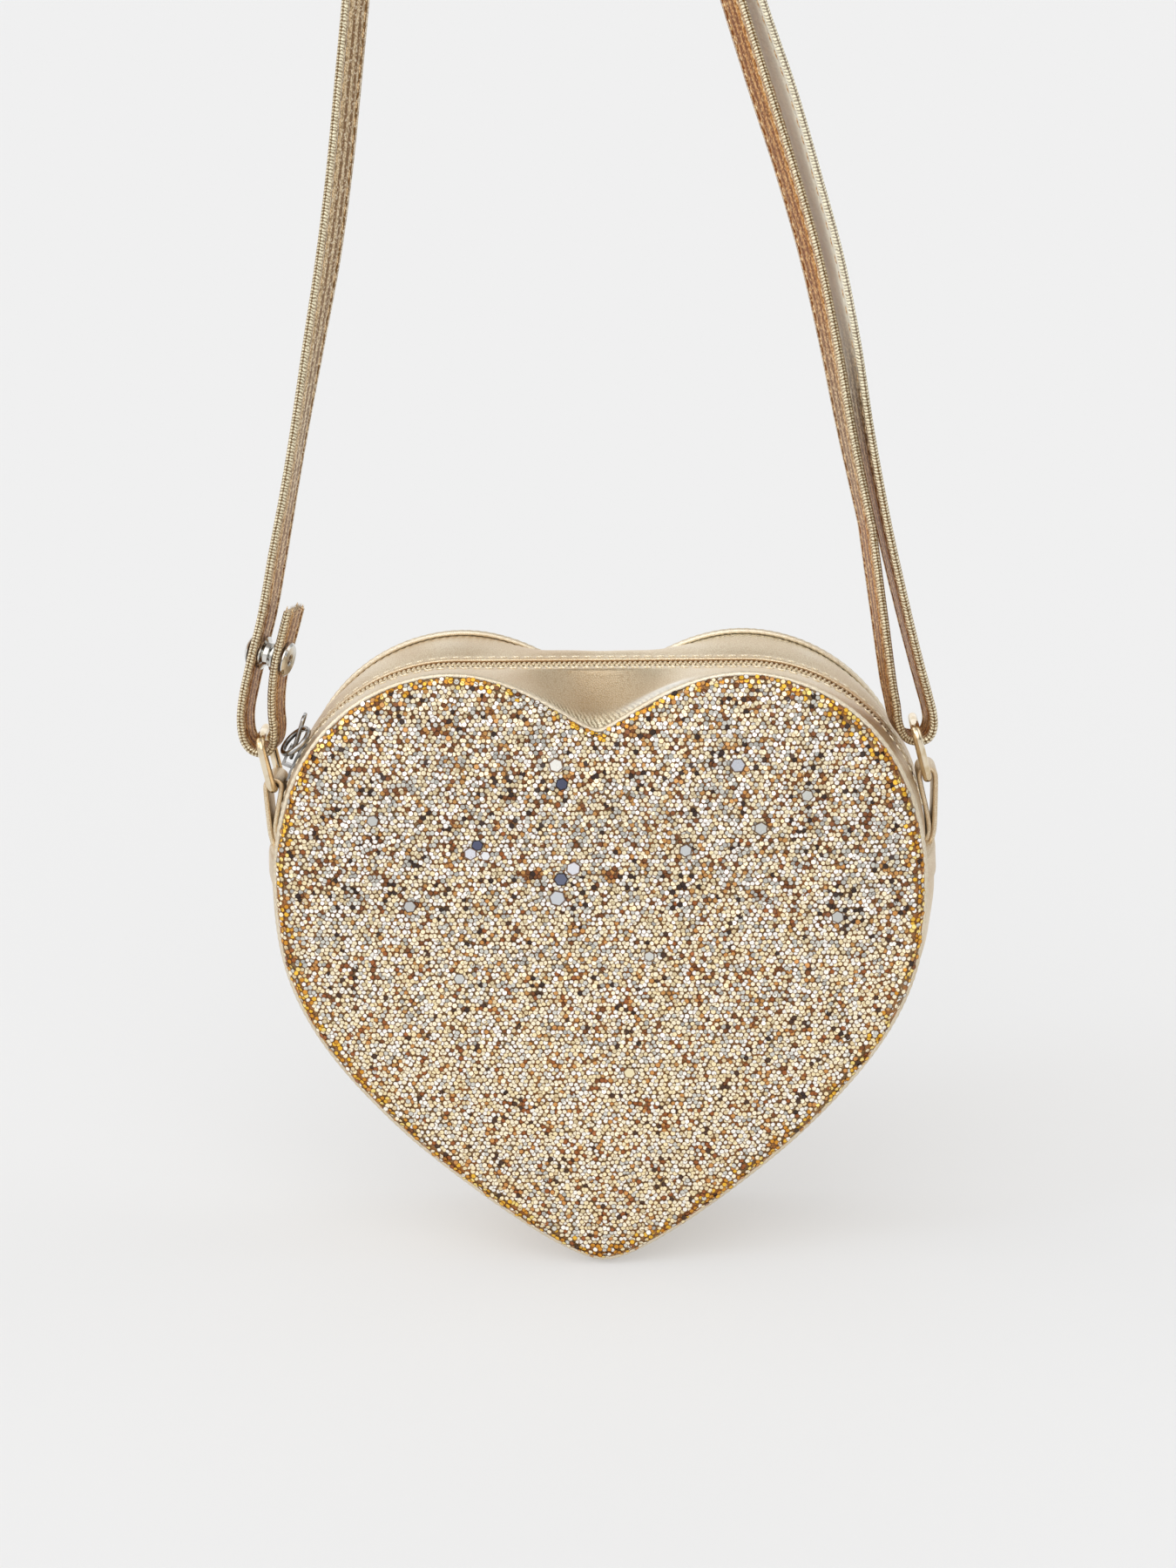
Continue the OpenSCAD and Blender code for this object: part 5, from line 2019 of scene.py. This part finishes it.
@dataclass(frozen=True)
class SoftBox:
    """A patch of the surround that has its own brightness and tint."""

    towards: tuple[float, float, float]
    inner: float
    outer: float
    tone: tuple[float, float, float]

    def limits(self) -> tuple[float, float]:
        """Cosines of the angles where the patch starts to fade in and is complete."""
        return math.cos(math.radians(self.outer)), math.cos(math.radians(self.inner))

    def seen(self, directions: np.ndarray, level: np.ndarray) -> np.ndarray:
        """Lays the patch over a surround.

        Args:
            directions: Rows of unit directions.
            level: The surround's colour in each.

        Returns:
            The colours with the patch.
        """
        low, high = self.limits()
        t = np.clip((directions @ np.array(Vector(self.towards).normalized()) - low)
                    / (high - low), 0, 1)
        share = (t * t * (3 - 2 * t))[..., None]
        return level * (1 - share) + np.array(self.tone) * share

    def wire(self, w: Wiring, direction: Socket, level: object) -> Socket:
        """Lays the patch over the surround's colour, by the direction looked in."""
        dot = w.node("ShaderNodeVectorMath", {
            0: direction, 1: Vector(self.towards).normalized()}, operation="DOT_PRODUCT")
        return w.mix(w.step(dot.outputs["Value"], *self.limits()), level, self.tone)


@dataclass
class Studio:
    """Camera, floor and light."""

    bag: BagFrame
    target: tuple[float, float, float] = (-3.4, 0.0, -34.4)
    distance: float = 850.0
    azimuth: float = 2.0
    elevation: float = 15.45
    roll: float = -0.84
    lens: float = 75.02
    sensor: float = 36.0
    ground: StudioGround = field(default_factory=StudioGround)
    floor_radius: float = 40.0
    surround: tuple[float, float, float] = (0.5, 0.5, 0.5)
    boxes: tuple[SoftBox, ...] = (
        SoftBox((-0.1, 1.0, 0.2), 16, 44, (1.1, 1.1, 1.1)),
        SoftBox((-0.9, 0.45, 0.0), 15, 42, (0.42, 0.26, 0.14)),
        SoftBox((0.1, -1.0, -0.1), 10, 34, (0.34, 0.31, 0.27)),
        SoftBox((0.8, -0.6, 0.0), 6, 18, (0.12, 0.09, 0.06)),
        SoftBox((-0.05, -0.8, 0.6), 18, 42, (2.1, 2.1, 2.1)),
        SoftBox((-0.8, 0.0, 0.6), 16, 40, (1.5, 1.48, 1.45)),
        SoftBox((0.8, 0.1, 0.55), 12, 34, (1.3, 1.3, 1.3)),
        SoftBox((-0.85, -0.4, 0.3), 8, 24, (1.9, 1.88, 1.84)),
    )
    sun_from: tuple[float, float, float] = (-0.72, -0.42, 0.55)
    sun_spread: float = 14.0

    def camera(self) -> None:
        """Stands the camera where the photograph was taken from."""
        a, e = math.radians(self.azimuth), math.radians(self.elevation)
        back = Vector((math.sin(a) * math.cos(e), -math.cos(a) * math.cos(e), math.sin(e)))
        data = bpy.data.cameras.new("camera")
        data.sensor_width = self.sensor
        data.lens = self.lens
        data.clip_start = 0.01
        data.clip_end = 200.0
        made = Workshop.place("camera", data)
        made.location = (Vector(self.bag.place(np.array(self.target)))
                         + back * self.distance * MM)
        turned = (-back).to_track_quat("-Z", "Y")
        turned.rotate(Quaternion(back, math.radians(self.roll)))
        made.rotation_mode = "QUATERNION"
        made.rotation_quaternion = turned
        bpy.context.scene.camera = made

    def floor(self, lowest: float) -> None:
        """Lays the floor under the bag's tip.

        Args:
            lowest: Height of the bag's lowest point.
        """
        mesh = bpy.data.meshes.new("floor")
        work = bmesh.new()
        bmesh.ops.create_circle(work, cap_ends=True, radius=self.floor_radius, segments=96)
        bmesh.ops.translate(work, verts=work.verts, vec=(0, 0, lowest - 0.3 * MM))
        work.to_mesh(mesh)
        work.free()
        mesh.materials.append(self.ground.make())
        Workshop.place("floor", mesh)

    def floor_light(self) -> np.ndarray:
        """The surround's mean colour as the open floor sees it."""
        steps = 200
        height = (np.arange(steps) + 0.5) / steps
        turn = (np.arange(2 * steps) + 0.5) / (2 * steps) * math.tau
        share, around = np.meshgrid(height, turn)
        flat = np.sqrt(share)
        directions = np.stack([flat * np.cos(around), flat * np.sin(around),
                               np.sqrt(1 - share)], -1)
        level = np.array(self.surround)
        for box in self.boxes:
            level = box.seen(directions, level)
        return level.mean(axis=(0, 1))

    def light(self) -> None:
        """Lights the bag with a soft surround and one lamp from the upper left.

        The lamp gives the floor what it still needs to be as pale as the backdrop.
        """
        world = bpy.data.worlds.new("surround")
        bpy.context.scene.world = world
        world.use_nodes = True
        world.node_tree.nodes.clear()
        w = Wiring(world.node_tree)
        direction = object_place(w)
        level = self.surround
        for box in self.boxes:
            level = box.wire(w, direction, level)
        w.node("ShaderNodeOutputWorld", {"Surface": w.out("ShaderNodeBackground",
                                                          {"Color": level})})
        lamp = bpy.data.lights.new("key", "SUN")
        towards = Vector(self.sun_from).normalized()
        wanted = self.ground.shown / self.ground.tone
        lacking = np.clip(wanted - self.floor_light(), 0.01, None)
        log.info("the lamp gives the floor %s of %.3f", lacking.round(3), wanted)
        lamp.color = lacking / lacking.max()
        lamp.energy = float(lacking.max()) * math.pi / towards.z
        lamp.angle = math.radians(self.sun_spread)
        made = Workshop.place("key", lamp)
        made.rotation_mode = "QUATERNION"
        made.rotation_quaternion = towards.to_track_quat("Z", "Y")
        bpy.context.scene.view_settings.view_transform = "Standard"


def main() -> None:
    """Builds the studio and every sub-assembly of the bag in order."""
    logging.basicConfig(level=logging.INFO, format="%(name)s: %(message)s")
    bag = BagFrame.from_panel()
    shop = Workshop(bag, Finishes())
    outline, path = HeartOutline(), ZipPath()
    rows = ThreadRow()
    studio = Studio(bag)
    studio.camera()
    studio.floor(cad_box[0].z)
    studio.light()
    KeptParts().dress(shop)
    GlitterPanel(shop, outline).build()
    BackPanel(shop, outline).build()
    Piping(shop, outline).build()
    Gusset(shop, outline, path, rows).build()
    ZipChain(shop, path, rows).build()
    SideTab(shop, Side.LEFT, (-84.8, -33.6)).build()
    SideTab(shop, Side.RIGHT, (84.2, -31.6)).build()
    ShoulderStrap(shop, rows).build()
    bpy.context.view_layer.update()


if __name__ == "__main__":
    main()
